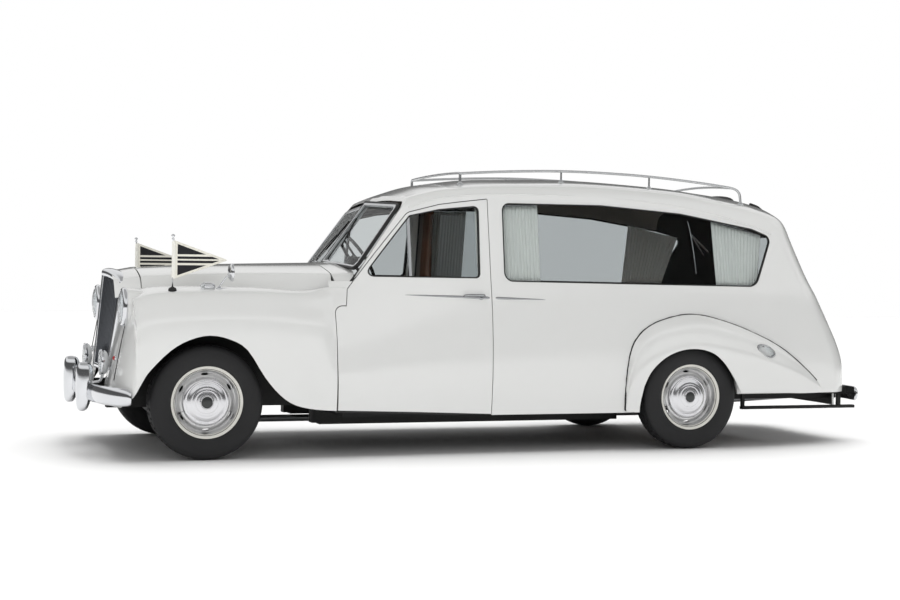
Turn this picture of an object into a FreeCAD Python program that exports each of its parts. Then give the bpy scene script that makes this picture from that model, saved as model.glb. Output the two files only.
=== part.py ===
"""A hearse on a long-wheelbase limousine chassis, as named sub-parts, one STEP file each.

Millimetres. +Z is up, the nose points to -Y and the car's left side to +X. The origin is on the ground,
in the middle of the car's length and width. The construction works in stations, which are distances
behind the front axle, and export() moves every piece from there to the origin.
"""
import FreeCAD
import Part
import math

Vector = FreeCAD.Vector

# ---------------------------------------------------------------- driving dimensions
wheelbase = 3353.0
front_overhang = 740.0          # front axle to the front of the over-riders
rear_overhang = 1590.0          # rear axle to the back of the rear bumper
half_width = 946.0              # to the outside of the rear wings
front_track = 1486.0
rear_track = 1580.0
tyre_radius = 358.0
tyre_width = 186.0
rim_radius = 205.0              # where the tyre's bead seats
flange_radius = 222.0
rim_width = 160.0               # over the flanges
flange_wall = 6.0

wall = 45.0                     # sides, roof and doors, inner and outer skins together
wing_wall = 24.0
bonnet_wall = 24.0
floor_wall = 45.0
shut_gap = 6.0                  # between a moving panel and its frame
seat_gap = 0.3                  # between faces that only rest on each other
run_clearance = 0.05            # radial, shaft in bore

glass_wall = 6.0
glass_inset = 18.0              # outer face of the side glass behind the outer skin

rocker_z = 255.0                # lower edge of the sides
bulge_z = 620.0                 # widest height of the doors
belt_z = 1080.0
deck_z = 770.0                  # top of the load deck
deck_wall = 30.0

front_axle = 0.0
rear_axle = front_axle + wheelbase
nose_end = front_axle - front_overhang
tail_end = rear_axle + rear_overhang
mid_station = (nose_end + tail_end) / 2.0
wheel_z = tyre_radius           # axle height, the tyres standing on the ground

door_front = front_axle + 800.0
door_rear = front_axle + 1885.0
partition_y = door_rear + 35.0
bonnet_front = front_axle - 345.0

# windscreen: two flat panes, y = screen_y + screen_rake * (z - screen_z) + screen_sweep * |x|
screen_y = front_axle + 970.0
screen_z = 1241.0
screen_rake = 0.73
screen_sweep = 0.10
screen_foot_z = 1120.0          # below this the scuttle sides are closed

rail_x = 380.0                  # chassis rail centre
rail_width = 80.0
rail_height = 130.0
rail_z = 300.0
floor_top = rocker_z + floor_wall
rail_in = rail_x - rail_width / 2.0
rail_out = rail_x + rail_width / 2.0
far = 2000.0                    # above the whole car, for cutting tools
wide = half_width + 50.0        # outside the wings, for cutting tools


# ---------------------------------------------------------------- helpers
def box(x0, x1, y0, y1, z0, z1):
    return Part.makeBox(x1 - x0, y1 - y0, z1 - z0, Vector(x0, y0, z0))


def cylinder(start, end, radius):
    axis = Vector(*end) - Vector(*start)
    return Part.makeCylinder(radius, axis.Length, Vector(*start), axis)


def mirrored(shape):
    return shape.mirror(Vector(0, 0, 0), Vector(1, 0, 0))


def fused(shapes):
    return shapes[0].fuse(shapes[1:]).removeSplitter()


def largest(shape):
    """The biggest solid of a cut piece, without the offcuts."""
    return max(shape.Solids, key=lambda solid: solid.Volume)


def rounded(points, place):
    """A closed wire through (a, b, radius) corners, each corner an arc of its radius.

    place maps (a, b) to a point in space.
    """
    starts, ends, middles = [], [], []
    count = len(points)
    for i, (a, b, radius) in enumerate(points):
        here = Vector(a, b, 0)
        before = Vector(points[i - 1][0], points[i - 1][1], 0) - here
        after = Vector(points[(i + 1) % count][0], points[(i + 1) % count][1], 0) - here
        if radius == 0:
            starts.append(here)
            ends.append(here)
            middles.append(None)
            continue
        half = before.getAngle(after) / 2.0
        back = radius / math.tan(half)
        u, v = before.normalize(), after.normalize()
        bisector = (u + v).normalize()
        starts.append(here + u * back)
        ends.append(here + v * back)
        middles.append(here + bisector * (radius / math.sin(half) - radius))
    edges = []
    for i in range(count):
        if middles[i]:
            corner = [place(p.x, p.y) for p in (starts[i], middles[i], ends[i])]
            edges.append(Part.Arc(*corner).toShape())
        a, b = ends[i], starts[(i + 1) % count]
        if (b - a).Length > 1e-6:
            edges.append(Part.makeLine(place(a.x, a.y), place(b.x, b.y)))
    return Part.Wire(Part.__sortEdges__(edges))


def side_prism(points, x0, x1, grow=0.0):
    """A side-view outline, (station, z, corner radius), grown and run across the car from x0 to x1."""
    face = Part.Face(rounded(points, lambda y, z: Vector(x0, y, z)))
    if grow:
        face = face.makeOffset2D(grow)
    return face.extrude(Vector(x1 - x0, 0, 0))


def rear_prism(points, y0, y1):
    """A rear-view outline, (x, z, corner radius), run along the car from y0 to y1."""
    wire = rounded(points, lambda x, z: Vector(x, y0, z))
    return Part.Face(wire).extrude(Vector(0, y1 - y0, 0))


def plan_prism(points, z0, z1):
    """A plan outline, (x, station, corner radius), run up from z0 to z1."""
    wire = rounded(points, lambda x, y: Vector(x, y, z0))
    return Part.Face(wire).extrude(Vector(0, 0, z1 - z0))


def revolved(points, x, y, z):
    """A closed (offset along x, radius) outline turned about the wheel's axis."""
    corners = [Vector(x + a, y, z + r) for a, r in points]
    face = Part.Face(Part.makePolygon(corners + corners[:1]))
    return face.revolve(Vector(x, y, z), Vector(1, 0, 0), 360)


def pipe(points, radius, bend):
    """A round tube along straight runs joined by tangent arcs."""
    path = [Vector(*p) for p in points]
    edges = []
    last = path[0]
    for i in range(1, len(path) - 1):
        u = (path[i - 1] - path[i]).normalize()
        v = (path[i + 1] - path[i]).normalize()
        half = u.getAngle(v) / 2.0
        back = bend / math.tan(half)
        middle = path[i] + (u + v).normalize() * (bend / math.sin(half) - bend)
        edges.append(Part.makeLine(last, path[i] + u * back))
        edges.append(Part.Arc(path[i] + u * back, middle, path[i] + v * back).toShape())
        last = path[i] + v * back
    edges.append(Part.makeLine(last, path[-1]))
    wire = Part.Wire(edges)
    ring = Part.Wire(Part.makeCircle(radius, path[0], path[1] - path[0]))
    return wire.makePipeShell([ring], True, False)


def shrunk(outline, z_middle):
    """A window outline, (x, z, corner radius), made smaller by seat_gap all round for its pane."""
    points = []
    for x, z, radius in outline:
        up = seat_gap if z < z_middle else -seat_gap
        points.append((x - math.copysign(seat_gap, x), z + up, radius))
    return points


def export(name, shape):
    moved = shape.copy()
    moved.translate(Vector(0, -mid_station, 0))
    moved.exportStep("parts/" + name + ".step")


def export_pair(name, left):
    """A left-hand piece and its mirror image, as two files."""
    export(name + "_left", left)
    export(name + "_right", mirrored(left))


def export_both(name, left):
    """Left-hand pieces and their mirror images, as one file."""
    export(name, Part.makeCompound(left + [mirrored(piece) for piece in left]))


# ---------------------------------------------------------------- the body's skin
body_front = door_front - 5.0
# One row a station: y, rocker, bulge and belt half widths, top of the side (x, z), shoulder (x, z), crown z.
BODY = [
    (body_front, 862, 888, 715, 575, 1330, 415, 1360, 1380),
    (front_axle + 1000, 860, 884, 755, 600, 1430, 450, 1470, 1490),
    (front_axle + 1300, 855, 876, 790, 635, 1612, 520, 1650, 1672),
    (front_axle + 1550, 850, 868, 800, 675, 1672, 570, 1742, 1783),
    (front_axle + 1920, 846, 862, 810, 700, 1706, 590, 1786, 1841),
    (rear_axle - 650, 846, 860, 820, 715, 1706, 600, 1812, 1867),
    (rear_axle + 50, 840, 852, 812, 700, 1662, 590, 1780, 1836),
    (rear_axle + 600, 815, 828, 785, 655, 1588, 540, 1700, 1789),
    (rear_axle + 900, 795, 805, 755, 620, 1520, 510, 1640, 1740),
    (rear_axle + 1550, 760, 765, 700, 520, 1330, 420, 1420, 1500),
]
shoulder_roundness = 0.17       # sagitta of the shoulder arc over its chord

# One row a height: z, station of the tail on the centre line, half width where its corner starts.
TAIL = [
    (200, rear_axle + 1477, 795),
    (610, rear_axle + 1472, 795),
    (815, rear_axle + 1337, 790),
    (1178, rear_axle + 1147, 740),
    (1680, rear_axle + 1047, 540),
    (1900, rear_axle + 987, 420),
]
tail_corner = 260.0             # how far the rounded rear corner reaches along the car
tail_crown = 34.0               # how far the tail's middle stands behind its corners


def body_wire(row, inset):
    """The whole section of the body at one station, moved inwards by inset."""
    y, x_rocker, x_bulge, x_belt, x_top, z_top, x_shoulder, z_shoulder, z_crown = row
    side = [
        (x_rocker - inset, rocker_z + inset),
        (x_bulge - inset, bulge_z),
        (x_belt - inset, belt_z),
        (x_top - inset, z_top - 0.3 * inset),
        (x_shoulder - 0.6 * inset, z_shoulder - 0.9 * inset),
    ]
    a, bulge, belt, top, shoulder = [Vector(x, y, z) for x, z in side]
    chord = shoulder - top
    outward = Vector(chord.z, 0, -chord.x)
    middle = (top + shoulder) / 2.0 + outward * shoulder_roundness
    flip = [Vector(-p.x, p.y, p.z) for p in (a, bulge, belt, top, middle, shoulder)]
    edges = [
        Part.makeLine(flip[0], a),
        Part.Arc(a, bulge, belt).toShape(),
        Part.makeLine(belt, top),
        Part.Arc(top, middle, shoulder).toShape(),
        Part.Arc(shoulder, Vector(0, y, z_crown - inset), flip[5]).toShape(),
        Part.Arc(flip[5], flip[4], flip[3]).toShape(),
        Part.makeLine(flip[3], flip[2]),
        Part.Arc(flip[2], flip[1], flip[0]).toShape(),
    ]
    return Part.Wire(edges)


def tail_wire(row, inset):
    """The tail's plan outline at one height, moved inwards by inset."""
    z, y_tail, x_corner = row
    y_front = body_front - 195.0
    y_back = y_tail - inset
    x = x_corner - inset
    x_wide = half_width + 200.0
    start = Vector(x, y_back - tail_crown - tail_corner, z)
    turn = Vector(x - 0.24 * tail_corner, y_back - tail_crown - 0.32 * tail_corner, z)
    end = Vector(x - 0.85 * tail_corner, y_back - tail_crown, z)
    wide = Vector(x_wide, rear_axle - 200.0, z)
    front = Vector(x_wide, y_front, z)
    left = [Vector(-p.x, p.y, p.z) for p in (front, wide, start, turn, end)]
    edges = [
        Part.makeLine(left[0], front),
        Part.makeLine(front, wide),
        Part.makeLine(wide, start),
        Part.Arc(start, turn, end).toShape(),
        Part.Arc(end, Vector(0, y_back, z), left[4]).toShape(),
        Part.Arc(left[4], left[3], left[2]).toShape(),
        Part.makeLine(left[2], left[1]),
        Part.makeLine(left[1], left[0]),
    ]
    return Part.Wire(edges)


def body_loft(inset):
    return Part.makeLoft([body_wire(row, inset) for row in BODY], True, True)


def tail_loft(inset):
    return Part.makeLoft([tail_wire(row, inset) for row in TAIL], True, True)


def screen_tool(ahead, z_foot):
    """Everything in front of the windscreen's outer face moved back by ahead, above z_foot."""
    halves = []
    for side in (1.0, -1.0):
        wires = []
        for x in (0.0, half_width + 100.0):
            corners = []
            for z in (z_foot, far):
                y = screen_y + ahead + screen_rake * (z - screen_z) + screen_sweep * x
                corners.append(Vector(side * x, y, z))
            corners.append(Vector(side * x, nose_end, far))
            corners.append(Vector(side * x, nose_end, z_foot))
            wires.append(Part.makePolygon(corners + corners[:1]))
        halves.append(Part.makeLoft(wires, True, True))
    return halves


outer = body_loft(0.0)
inner = body_loft(wall)
shell = outer.common(tail_loft(0.0)).cut(inner.common(tail_loft(wall)))
# the loft's front end is open, and so is everything in front of the windscreen
shell = shell.cut(screen_tool(0.0, screen_foot_z))

# ---------------------------------------------------------------- side-view outlines
# (station, z, corner radius)
DOOR = [
    (door_front + 22, rocker_z - 20, 0),
    (door_front + 10, 620, 0),
    (door_front + 14, 965, 55),
    (door_front + 90, 966, 0),
    (door_front + 108, 1070, 30),
    (front_axle + 1337, 1580, 70),
    (front_axle + 1550, 1638, 0),
    (front_axle + 1700, 1660, 0),
    (door_rear, 1684, 20),
    (door_rear, rocker_z - 20, 0),
]
DOOR_WINDOW = [
    (front_axle + 1050, 1153, 42),
    (front_axle + 1375, 1552, 30),
    (front_axle + 1550, 1598, 0),
    (door_rear - 50, 1630, 30),
    (door_rear - 62, 1155, 26),
]
VENT_BAR = (front_axle + 1315, front_axle + 1342)
SIDE_WINDOW = [
    (door_rear + 84, 1137, 60),
    (door_rear + 90, 1655, 50),
    (rear_axle - 640, 1662, 0),
    (rear_axle - 30, 1624, 0),
    (rear_axle + 575, 1534, 0),
    (rear_axle + 740, 1478, 45),
    (rear_axle + 560, 1126, 90),
]
LOWER_EDGE_REAR = [
    (rear_axle + 200, 0, 0),
    (rear_axle + 420, 392, 30),
    (rear_axle + 870, 370, 0),
    (tail_end, 370, 0),
    (tail_end, 0, 0),
]


roof_line = [(row[0], row[5] + 12.0, 0) for row in BODY]
roof_line += [(tail_end, 1290.0, 0), (tail_end, far, 0), (body_front, far, 0)]
above_sides = side_prism(roof_line, -half_width, half_width)

tailgate_foot = 415.0
tailgate_head = 1585.0


def tail_outline(gap):
    """The rear view outline of the tailgate's opening, (x, z, corner radius), made smaller by gap."""
    left = [
        (-560 + gap, tailgate_foot + gap, 30),
        (-570 + gap, 900, 0),
        (-540 + gap, 1250, 0),
        (-455 + gap, tailgate_head - gap, 70),
    ]
    return left + [(-x, z, r) for x, z, r in reversed(left)]


TAIL_WINDOW = [(-430, 1130, 60), (-370, 1500, 60), (370, 1500, 60), (430, 1130, 60)]
tail_reach = (rear_axle + 850.0, tail_end)

arch_radius = tyre_radius + 47.0
wheel_cut = cylinder((-half_width, rear_axle, wheel_z), (half_width, rear_axle, wheel_z), arch_radius)
floor_half = 800.0
floor_cut = box(-floor_half, floor_half, body_front, tail_end, 0, floor_top)
below_tail = side_prism(LOWER_EDGE_REAR, -half_width, half_width)
tail_hole = rear_prism(tail_outline(0.0), *tail_reach)
half_space = box(0, wide, nose_end, tail_end, 0, far)
side_in = 300.0                 # side openings are cut from here outwards


def door_tool(gap):
    """The door's side outline, grown by gap, running in from the outer skin."""
    return side_prism(DOOR, side_in, half_width, gap)


# ---------------------------------------------------------------- sides, roof, floor
side_shell = shell.cut([above_sides, wheel_cut, floor_cut, below_tail, tail_hole]).common(half_space)
behind_door = box(0, half_width, door_rear + shut_gap, tail_end, 0, far)
side_left = side_shell.common(behind_door).cut(side_prism(SIDE_WINDOW, side_in, half_width))
export_pair("body_side", side_left)

roof = shell.common(above_sides).cut(tail_hole)
roof = roof.cut([door_tool(shut_gap), mirrored(door_tool(shut_gap))])
export("roof", roof)

firewall_front = door_front + 48.0
firewall_back = door_front + 74.0
floor_front = firewall_back + seat_gap
floor_back = rear_axle - 430.0
floor_pan = box(-floor_half + seat_gap, floor_half - seat_gap, floor_front, floor_back, rocker_z, floor_top)
floor_pan = floor_pan.common(body_loft(0.0))
export("floor_pan", floor_pan)

# ---------------------------------------------------------------- scuttle, firewall and screen pillars
# One row a station: y, shoulder (x, z), crown z, valley (x, z).
SCUTTLE = [
    (front_axle + 848, 600, 1150, 1240, 690, 1040),
    (front_axle + 1060, 640, 1160, 1262, 720, 1060),
]
BONNET = [
    (bonnet_front, 360, 1115, 1190, 420, 1050),
    (front_axle, 420, 1135, 1212, 490, 1055),
    (front_axle + 400, 500, 1150, 1225, 570, 1048),
    (front_axle + 838, 600, 1150, 1240, 655, 1035),
]
NOSE_TOP = [
    (front_axle - 490, 262, 1090, 1163, 320, 1000),
    (bonnet_front - 8, 358, 1114, 1189, 418, 1049),
]


def bonnet_wire(row, inset, foot):
    """A bonnet section: crown arc, flat flanks and a level underside at foot below the valley."""
    y, x_shoulder, z_shoulder, z_crown, x_valley, z_valley = row
    shoulder = Vector(x_shoulder - inset, y, z_shoulder - inset)
    valley = Vector(x_valley - inset, y, z_valley)
    base = Vector(x_valley - inset, y, foot if foot else z_valley - 1.0)
    left = [Vector(-p.x, p.y, p.z) for p in (shoulder, valley, base)]
    return Part.Wire([
        Part.Arc(left[0], Vector(0, y, z_crown - inset), shoulder).toShape(),
        Part.makeLine(shoulder, valley),
        Part.makeLine(valley, base),
        Part.makeLine(base, left[2]),
        Part.makeLine(left[2], left[1]),
        Part.makeLine(left[1], left[0]),
    ])


def bonnet_loft(rows, inset, foot=0.0):
    return Part.makeLoft([bonnet_wire(row, inset, foot) for row in rows], True, True)


screen_frame_depth = 14.0
scuttle_wall = 22.0
scuttle_top = 1300.0            # above the scuttle's crown
low_foot = 300.0                # where the loft under a bonnet section ends
ahead_of_screen = screen_tool(-screen_frame_depth - seat_gap, screen_foot_z - 400.0)
scuttle_solid = bonnet_loft(SCUTTLE, 0.0, low_foot)
scuttle = scuttle_solid.cut(bonnet_loft(SCUTTLE, scuttle_wall, low_foot))
scuttle = scuttle.common(box(-half_width, half_width, door_front, door_front + 300, 1000, scuttle_top))
scuttle = scuttle.common(ahead_of_screen[0].fuse(ahead_of_screen[1]))
firewall_box = box(-half_width, half_width, firewall_front, firewall_back, floor_top + seat_gap, scuttle_top)
firewall = scuttle_solid.common(firewall_box)

# hinge posts and pillars stand inside the door's inner face; the outer strip closes the skin ahead of it
post_out = wall + shut_gap
post_in = wall + 48.0
inside_door = body_loft(post_out)
post_shell = inside_door.cut(body_loft(post_in))
post = post_shell.common(box(560, half_width, door_front + 12, firewall_back, rocker_z + 80, 1030))
pillar_wall = 64.0
pillar_back = screen_tool(pillar_wall, 1000.0)[0]
pillar = post_shell.common(pillar_back).cut(screen_tool(0.0, screen_foot_z)[0])
pillar = pillar.common(box(480, half_width, door_front + 60, door_front + 700, 1020, far)).cut(above_sides)
strip = outer.cut(inside_door).common(box(side_in, half_width, firewall_front, door_front + 600, 985, far))
strip = strip.cut([door_tool(shut_gap), above_sides, screen_tool(0.0, screen_foot_z)[0]])
web = outer.common(box(500, 800, firewall_front, firewall_back, 700, 1040)).common(inside_door)
corner = [strip, pillar, post]
cowl = fused([scuttle, firewall, web] + corner + [mirrored(piece) for piece in corner])
export("cowl", cowl)

# ---------------------------------------------------------------- bonnet and the fixed panel ahead of it
bonnet = bonnet_loft(BONNET, 0.0).cut(bonnet_loft(BONNET, bonnet_wall, low_foot))
export("bonnet", bonnet)

nose_top = bonnet_loft(NOSE_TOP, 0.0).cut(bonnet_loft(NOSE_TOP, bonnet_wall, low_foot))

# ---------------------------------------------------------------- wings
# One row a station: valley, crown, shoulder, widest and lip points of the outer skin, as x and z.
FRONT_WING = [
    (front_axle - 500, 320, 960, 590, 1000, 800, 890, 872, 720, 870, 330),
    (front_axle - 345, 432, 1036, 640, 1040, 825, 940, 890, 800, 890, 330),
    (front_axle, 500, 1046, 690, 1052, 845, 960, 903, 820, 905, 285),
    (front_axle + 400, 580, 1040, 725, 1056, 850, 960, 905, 820, 905, 285),
    (front_axle + 802, 664, 1018, 745, 1020, 797, 930, 854, 780, 868, 256),
]
REAR_WING = [
    (rear_axle - 500, 861, 430, 868, 400, 870, 350, 868, 300, 864, 264),
    (rear_axle - 460, 856, 700, 882, 640, 896, 540, 890, 400, 880, 264),
    (rear_axle - 331, 838, 840, 880, 800, 915, 700, 915, 480, 905, 264),
    (rear_axle - 60, 836, 924, 890, 890, 928, 780, 936, 620, 928, 300),
    (rear_axle + 215, 832, 898, 890, 870, 928, 760, 937, 600, 928, 389),
    (rear_axle + 534, 820, 795, 870, 780, 910, 690, 920, 560, 910, 389),
    (rear_axle + 880, 798, 620, 830, 600, 856, 540, 862, 470, 856, 372),
    (rear_axle + 1130, 786, 480, 802, 462, 814, 436, 818, 402, 812, 372),
]


def bulged(start, end):
    """The middle of an arc that stands outwards of its chord by a tenth of it."""
    chord = end - start
    return (start + end) / 2.0 + Vector(-chord.z, 0, chord.x) * 0.1


def wing_wire(row, thickness, lean):
    """A wing section; its inner face is moved down under the crown, and inwards by lean of its wall there."""
    y, x1, z1, x2, z2, x3, z3, x4, z4, x5, z5 = row
    p1, p2, p3 = Vector(x1, y, z1), Vector(x2, y, z2), Vector(x3, y, z3)
    p4, p5 = Vector(x4, y, z4), Vector(x5, y, z5)
    back = Vector(-thickness, 0, 0)
    down = Vector(0, 0, -thickness)
    under_crown = down * (1.0 - lean / 2.0) + back * lean
    q1 = p1 + under_crown
    q2 = p2 + under_crown
    q3 = p3 + back * 0.75 + down * 0.75
    q4 = p4 + back
    q5 = p5 + back
    return Part.Wire([
        Part.Arc(p1, p2, p3).toShape(),
        Part.Arc(p3, bulged(p3, p4), p4).toShape(),
        Part.makeLine(p4, p5),
        Part.makeLine(p5, q5),
        Part.makeLine(q5, q4),
        Part.Arc(q4, bulged(q3, q4), q3).toShape(),
        Part.Arc(q3, q2, q1).toShape(),
        Part.makeLine(q1, p1),
    ])


FRONT_ARCH = [
    (front_axle - 419, 0, 0),
    (front_axle - 415, 330, 0),
    (front_axle - 330, 775, 240),
    (front_axle + 330, 775, 260),
    (front_axle + 425, 330, 60),
    (front_axle + 600, 318, 60),
    (front_axle + 845, 283, 0),
    (front_axle + 845, 0, 0),
]
REAR_ARCH = [
    (rear_axle - 395, 0, 0),
    (rear_axle - 395, 347, 0),
    (rear_axle - 330, 672, 250),
    (rear_axle + 320, 672, 250),
    (rear_axle + 412, 385, 20),
    (rear_axle + 1300, 370, 0),
    (rear_axle + 1300, 0, 0),
]
front_wing = Part.makeLoft([wing_wire(row, wing_wall, 0.0) for row in FRONT_WING], True, True)
# the wings' front ends, and the nose panel's back seat_gap ahead of them
wing_front = front_axle - 466.0
wing_front_top = front_axle - 396.0
nose_line = [
    (nose_end, 0, 0),
    (wing_front, 0, 0),
    (wing_front, 740, 0),
    (wing_front_top, 1010, 0),
    (wing_front_top, 1200, 0),
    (nose_end, 1200, 0),
]
front_wing = front_wing.cut([side_prism(nose_line, 200, wide), side_prism(FRONT_ARCH, 600, wide)])
rear_wing = Part.makeLoft([wing_wire(row, wing_wall, 1.0) for row in REAR_WING], True, True)
rear_wing = rear_wing.cut([side_prism(REAR_ARCH, 600, wide), side_left]).cut(outer.common(tail_loft(0.0)))
rear_wing = largest(rear_wing)
export_pair("rear_wing", rear_wing)

# ---------------------------------------------------------------- nose panel, lamps, grille
nose_back = wing_front - seat_gap
NOSE_SIDE = [
    (front_axle - 545, 470, 20),
    (front_axle - 498, 730, 0),
    (front_axle - 450, 1000, 20),
    (wing_front_top - seat_gap, 1010, 0),
    (nose_back, 740, 0),
    (nose_back, 470, 0),
]
NOSE_FACE = [
    (300, 470, 20),
    (300, 985, 30),
    (640, 1003, 120),
    (868, 860, 120),
    (876, 600, 60),
    (866, 470, 30),
]
NOSE_PLAN = [
    (200, front_axle - 380, 0),
    (200, front_axle - 560, 0),
    (640, front_axle - 560, 60),
    (900, front_axle - 468, 0),
    (900, front_axle - 380, 0),
]
NOSE_RIB = [
    (nose_back, 470, 0),
    (front_axle - 490, 470, 0),
    (front_axle - 490, 1060, 0),
    (nose_back, 1060, 0),
]
headlamp = (600.0, front_axle - 462, 938.0, 115.0, 40.0)    # x, station, z, radius, half depth
foglamp = (400.0, front_axle - 574, 585.0, 82.0, 26.0)
nose_half = side_prism(NOSE_SIDE, 200, 900)
nose_half = nose_half.common(rear_prism(NOSE_FACE, front_axle - 620, front_axle - 380))
nose_half = nose_half.common(plan_prism(NOSE_PLAN, 400, 1100))
nose_half = nose_half.fuse(side_prism(NOSE_RIB, 250, 345))


def lamp_body(lamp, radius):
    x, y, z, r, half = lamp
    return cylinder((x, y - half, z), (x, y + half, z), radius)


lamp_seat = lamp_body(headlamp, headlamp[3] + seat_gap)
nose_half = nose_half.cut(lamp_seat)
nose_panel = fused([nose_top, nose_half, mirrored(nose_half)])
front_wing = front_wing.cut(lamp_seat)
export_pair("front_wing", front_wing)

# One row a height: z, half width, station of the corner, station of the middle ridge.
GRILLE = [
    (520, 250, front_axle - 535, front_axle - 580),
    (1088, 290, front_axle - 450, front_axle - 523),
]
grille_depth = 46.0
grille_top = 1160.0
grille_border = 34.0
slat_pitch = 26.0
slat_half = 4.0
slats_each_side = 9


def grille_wire(row, inset, z):
    half = row[1] - inset
    y_corner, y_prow = row[2:]
    points = [(-half, y_corner), (0, y_prow), (half, y_corner), (half, y_corner + grille_depth),
              (0, y_prow + grille_depth), (-half, y_corner + grille_depth)]
    corners = [Vector(x, y, z) for x, y in points]
    return Part.makePolygon(corners + corners[:1])


def grille_loft(inset):
    low, high = GRILLE
    foot = grille_wire(low, inset, low[0] + inset)
    head = grille_wire(high, inset, high[0] - inset)
    return Part.makeLoft([foot, head], True, True)


grille_shell = grille_loft(0.0)
cap_low = grille_wire(GRILLE[1], 0.0, GRILLE[1][0])
CAP_TOP = [
    (-120, front_axle - 475),
    (0, front_axle - 522),
    (120, front_axle - 475),
    (120, front_axle - 440),
    (0, front_axle - 482),
    (-120, front_axle - 440),
]
cap_high = Part.makePolygon([Vector(x, y, grille_top) for x, y in CAP_TOP + CAP_TOP[:1]])
grille_cap = Part.makeLoft([cap_low, cap_high], True, True)
slats = []
for i in range(-slats_each_side, slats_each_side + 1):
    x = i * slat_pitch
    slats.append(box(x - slat_half, x + slat_half, front_axle - 600, front_axle - 400, 500, 1100))
slats = grille_shell.common(Part.makeCompound(slats))
grille = fused([grille_shell.cut(grille_loft(grille_border)), grille_cap] + slats.Solids)
grille_seat = grille_loft(-1.0).fuse(grille_cap)
grille_back = grille_seat.copy()
grille_back.translate(Vector(0, seat_gap, 0))
nose_panel = nose_panel.cut([grille_seat, grille_back])
nose_panel = largest(nose_panel)
export("nose_panel", nose_panel)
export("grille", grille)

export_both("headlamps", [lamp_body(headlamp, headlamp[3])])

# ---------------------------------------------------------------- front lamps and bumper
rail_front = front_axle - 556.0     # the chassis rails' front ends
bumper_front = front_axle - 694.0
bumper_low, bumper_high = 340.0, 456.0
bumper_wall = 16.0
OVER_RIDER = [(nose_end, 300, 20), (nose_end, 545, 30), (nose_end + 86, 563, 20), (nose_end + 86, 278, 20)]
over_rider_x = 336.0
over_rider_width = 90.0
# plan of the blade's outer face, as x and station; the blade is bumper_wall thick behind it
BLADE = [(0, bumper_front), (500, front_axle - 672), (790, front_axle - 600), (900, front_axle - 474)]
bracket_x = (rail_x - 20.0, rail_x + 20.0)


def blade(points, z0, z1, thickness):
    """A bumper blade through plan points, mirrored about the middle; thickness is along the car."""
    right = [(-x, y) for x, y in reversed(points[1:])]
    face = right + points
    back = [(x * (1.0 - thickness / 900.0), y + thickness) for x, y in reversed(face)]
    return plan_prism([(x, y, 0) for x, y in face + back], z0, z1)


front_bumper = [blade(BLADE, bumper_low, bumper_high, bumper_wall)]
for side in (-1, 1):
    x = side * over_rider_x
    front_bumper.append(side_prism(OVER_RIDER, x - over_rider_width / 2, x + over_rider_width / 2))
    x0, x1 = sorted((side * bracket_x[0], side * bracket_x[1]))
    front_bumper.append(box(x0, x1, nose_end + 60, rail_front - seat_gap, 380, 420))
front_bumper = fused(front_bumper)
export("front_bumper", front_bumper)

fog_half = 15.0                 # half the fog lamp bracket's width
fog_x0, fog_x1 = foglamp[0] - fog_half, foglamp[0] + fog_half
fog_back = foglamp[1] + fog_half
fog_lamp = fused([
    lamp_body(foglamp, foglamp[3]),
    box(fog_x0, fog_x1, foglamp[1] - fog_half, fog_back, bumper_high - 10, foglamp[2]),
    box(fog_x0, fog_x1, nose_end + 65, fog_back, bumper_high + seat_gap, 470),
])
fog_lamp = fog_lamp.cut(front_bumper)
export_both("fog_lamps", [fog_lamp])

# ---------------------------------------------------------------- rear bumper
REAR_BLADE = [(0, tail_end - 50), (500, tail_end - 75), (740, tail_end - 143)]
rear_low, rear_high = 320.0, 400.0
frame_end = rear_axle + 1482.0
bar_x = 500.0                   # the under bars and their posts, beside the chassis
bar_half = 22.0
bar_front = rear_axle + 632.0
bar_low, bar_high = 227.0, 270.0
post_half = 20.0
# the blade is drawn facing forwards and turned about the middle of the car
rear_bumper = [blade([(x, 2 * mid_station - y) for x, y in REAR_BLADE], rear_low, rear_high, bumper_wall)]
rear_bumper = [rear_bumper[0].mirror(Vector(0, mid_station, 0), Vector(0, 1, 0))]
for side in (-1, 1):
    x = side * bar_x
    for y in (bar_front + 5, frame_end - 65):
        rear_bumper.append(box(x - post_half, x + post_half, y - post_half, y + 25, bar_low, 345))
    x0, x1 = x - bar_half, x + bar_half
    rear_bumper.append(box(x0, x1, bar_front, tail_end, bar_low, bar_high))
    rear_bumper.append(box(x0, x1, tail_end - 60, tail_end, bar_low, 470))
    rear_bumper.append(box(x0, x1, tail_end - 88, tail_end, 330, 390))
    x0, x1 = sorted((side * bracket_x[0], side * bracket_x[1]))
    rear_bumper.append(box(x0, x1, frame_end + seat_gap, tail_end - 71, rear_low, 365))
rear_bumper = fused(rear_bumper)
export("rear_bumper", rear_bumper)

# ---------------------------------------------------------------- glass
SCREEN = [(9, 1253, 6), (9, 1632, 6), (596, 1602, 34), (648, 1212, 44)]
SCREEN_FRAME = [(-12, 1226, 0), (-12, 1656, 0), (616, 1626, 50), (674, 1184, 60)]


def screen_slab(front, back):
    """The space between two distances behind the windscreen's outer face, on the left half."""
    return screen_tool(back, 1000.0)[0].cut(screen_tool(front, 900.0)[0])


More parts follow.
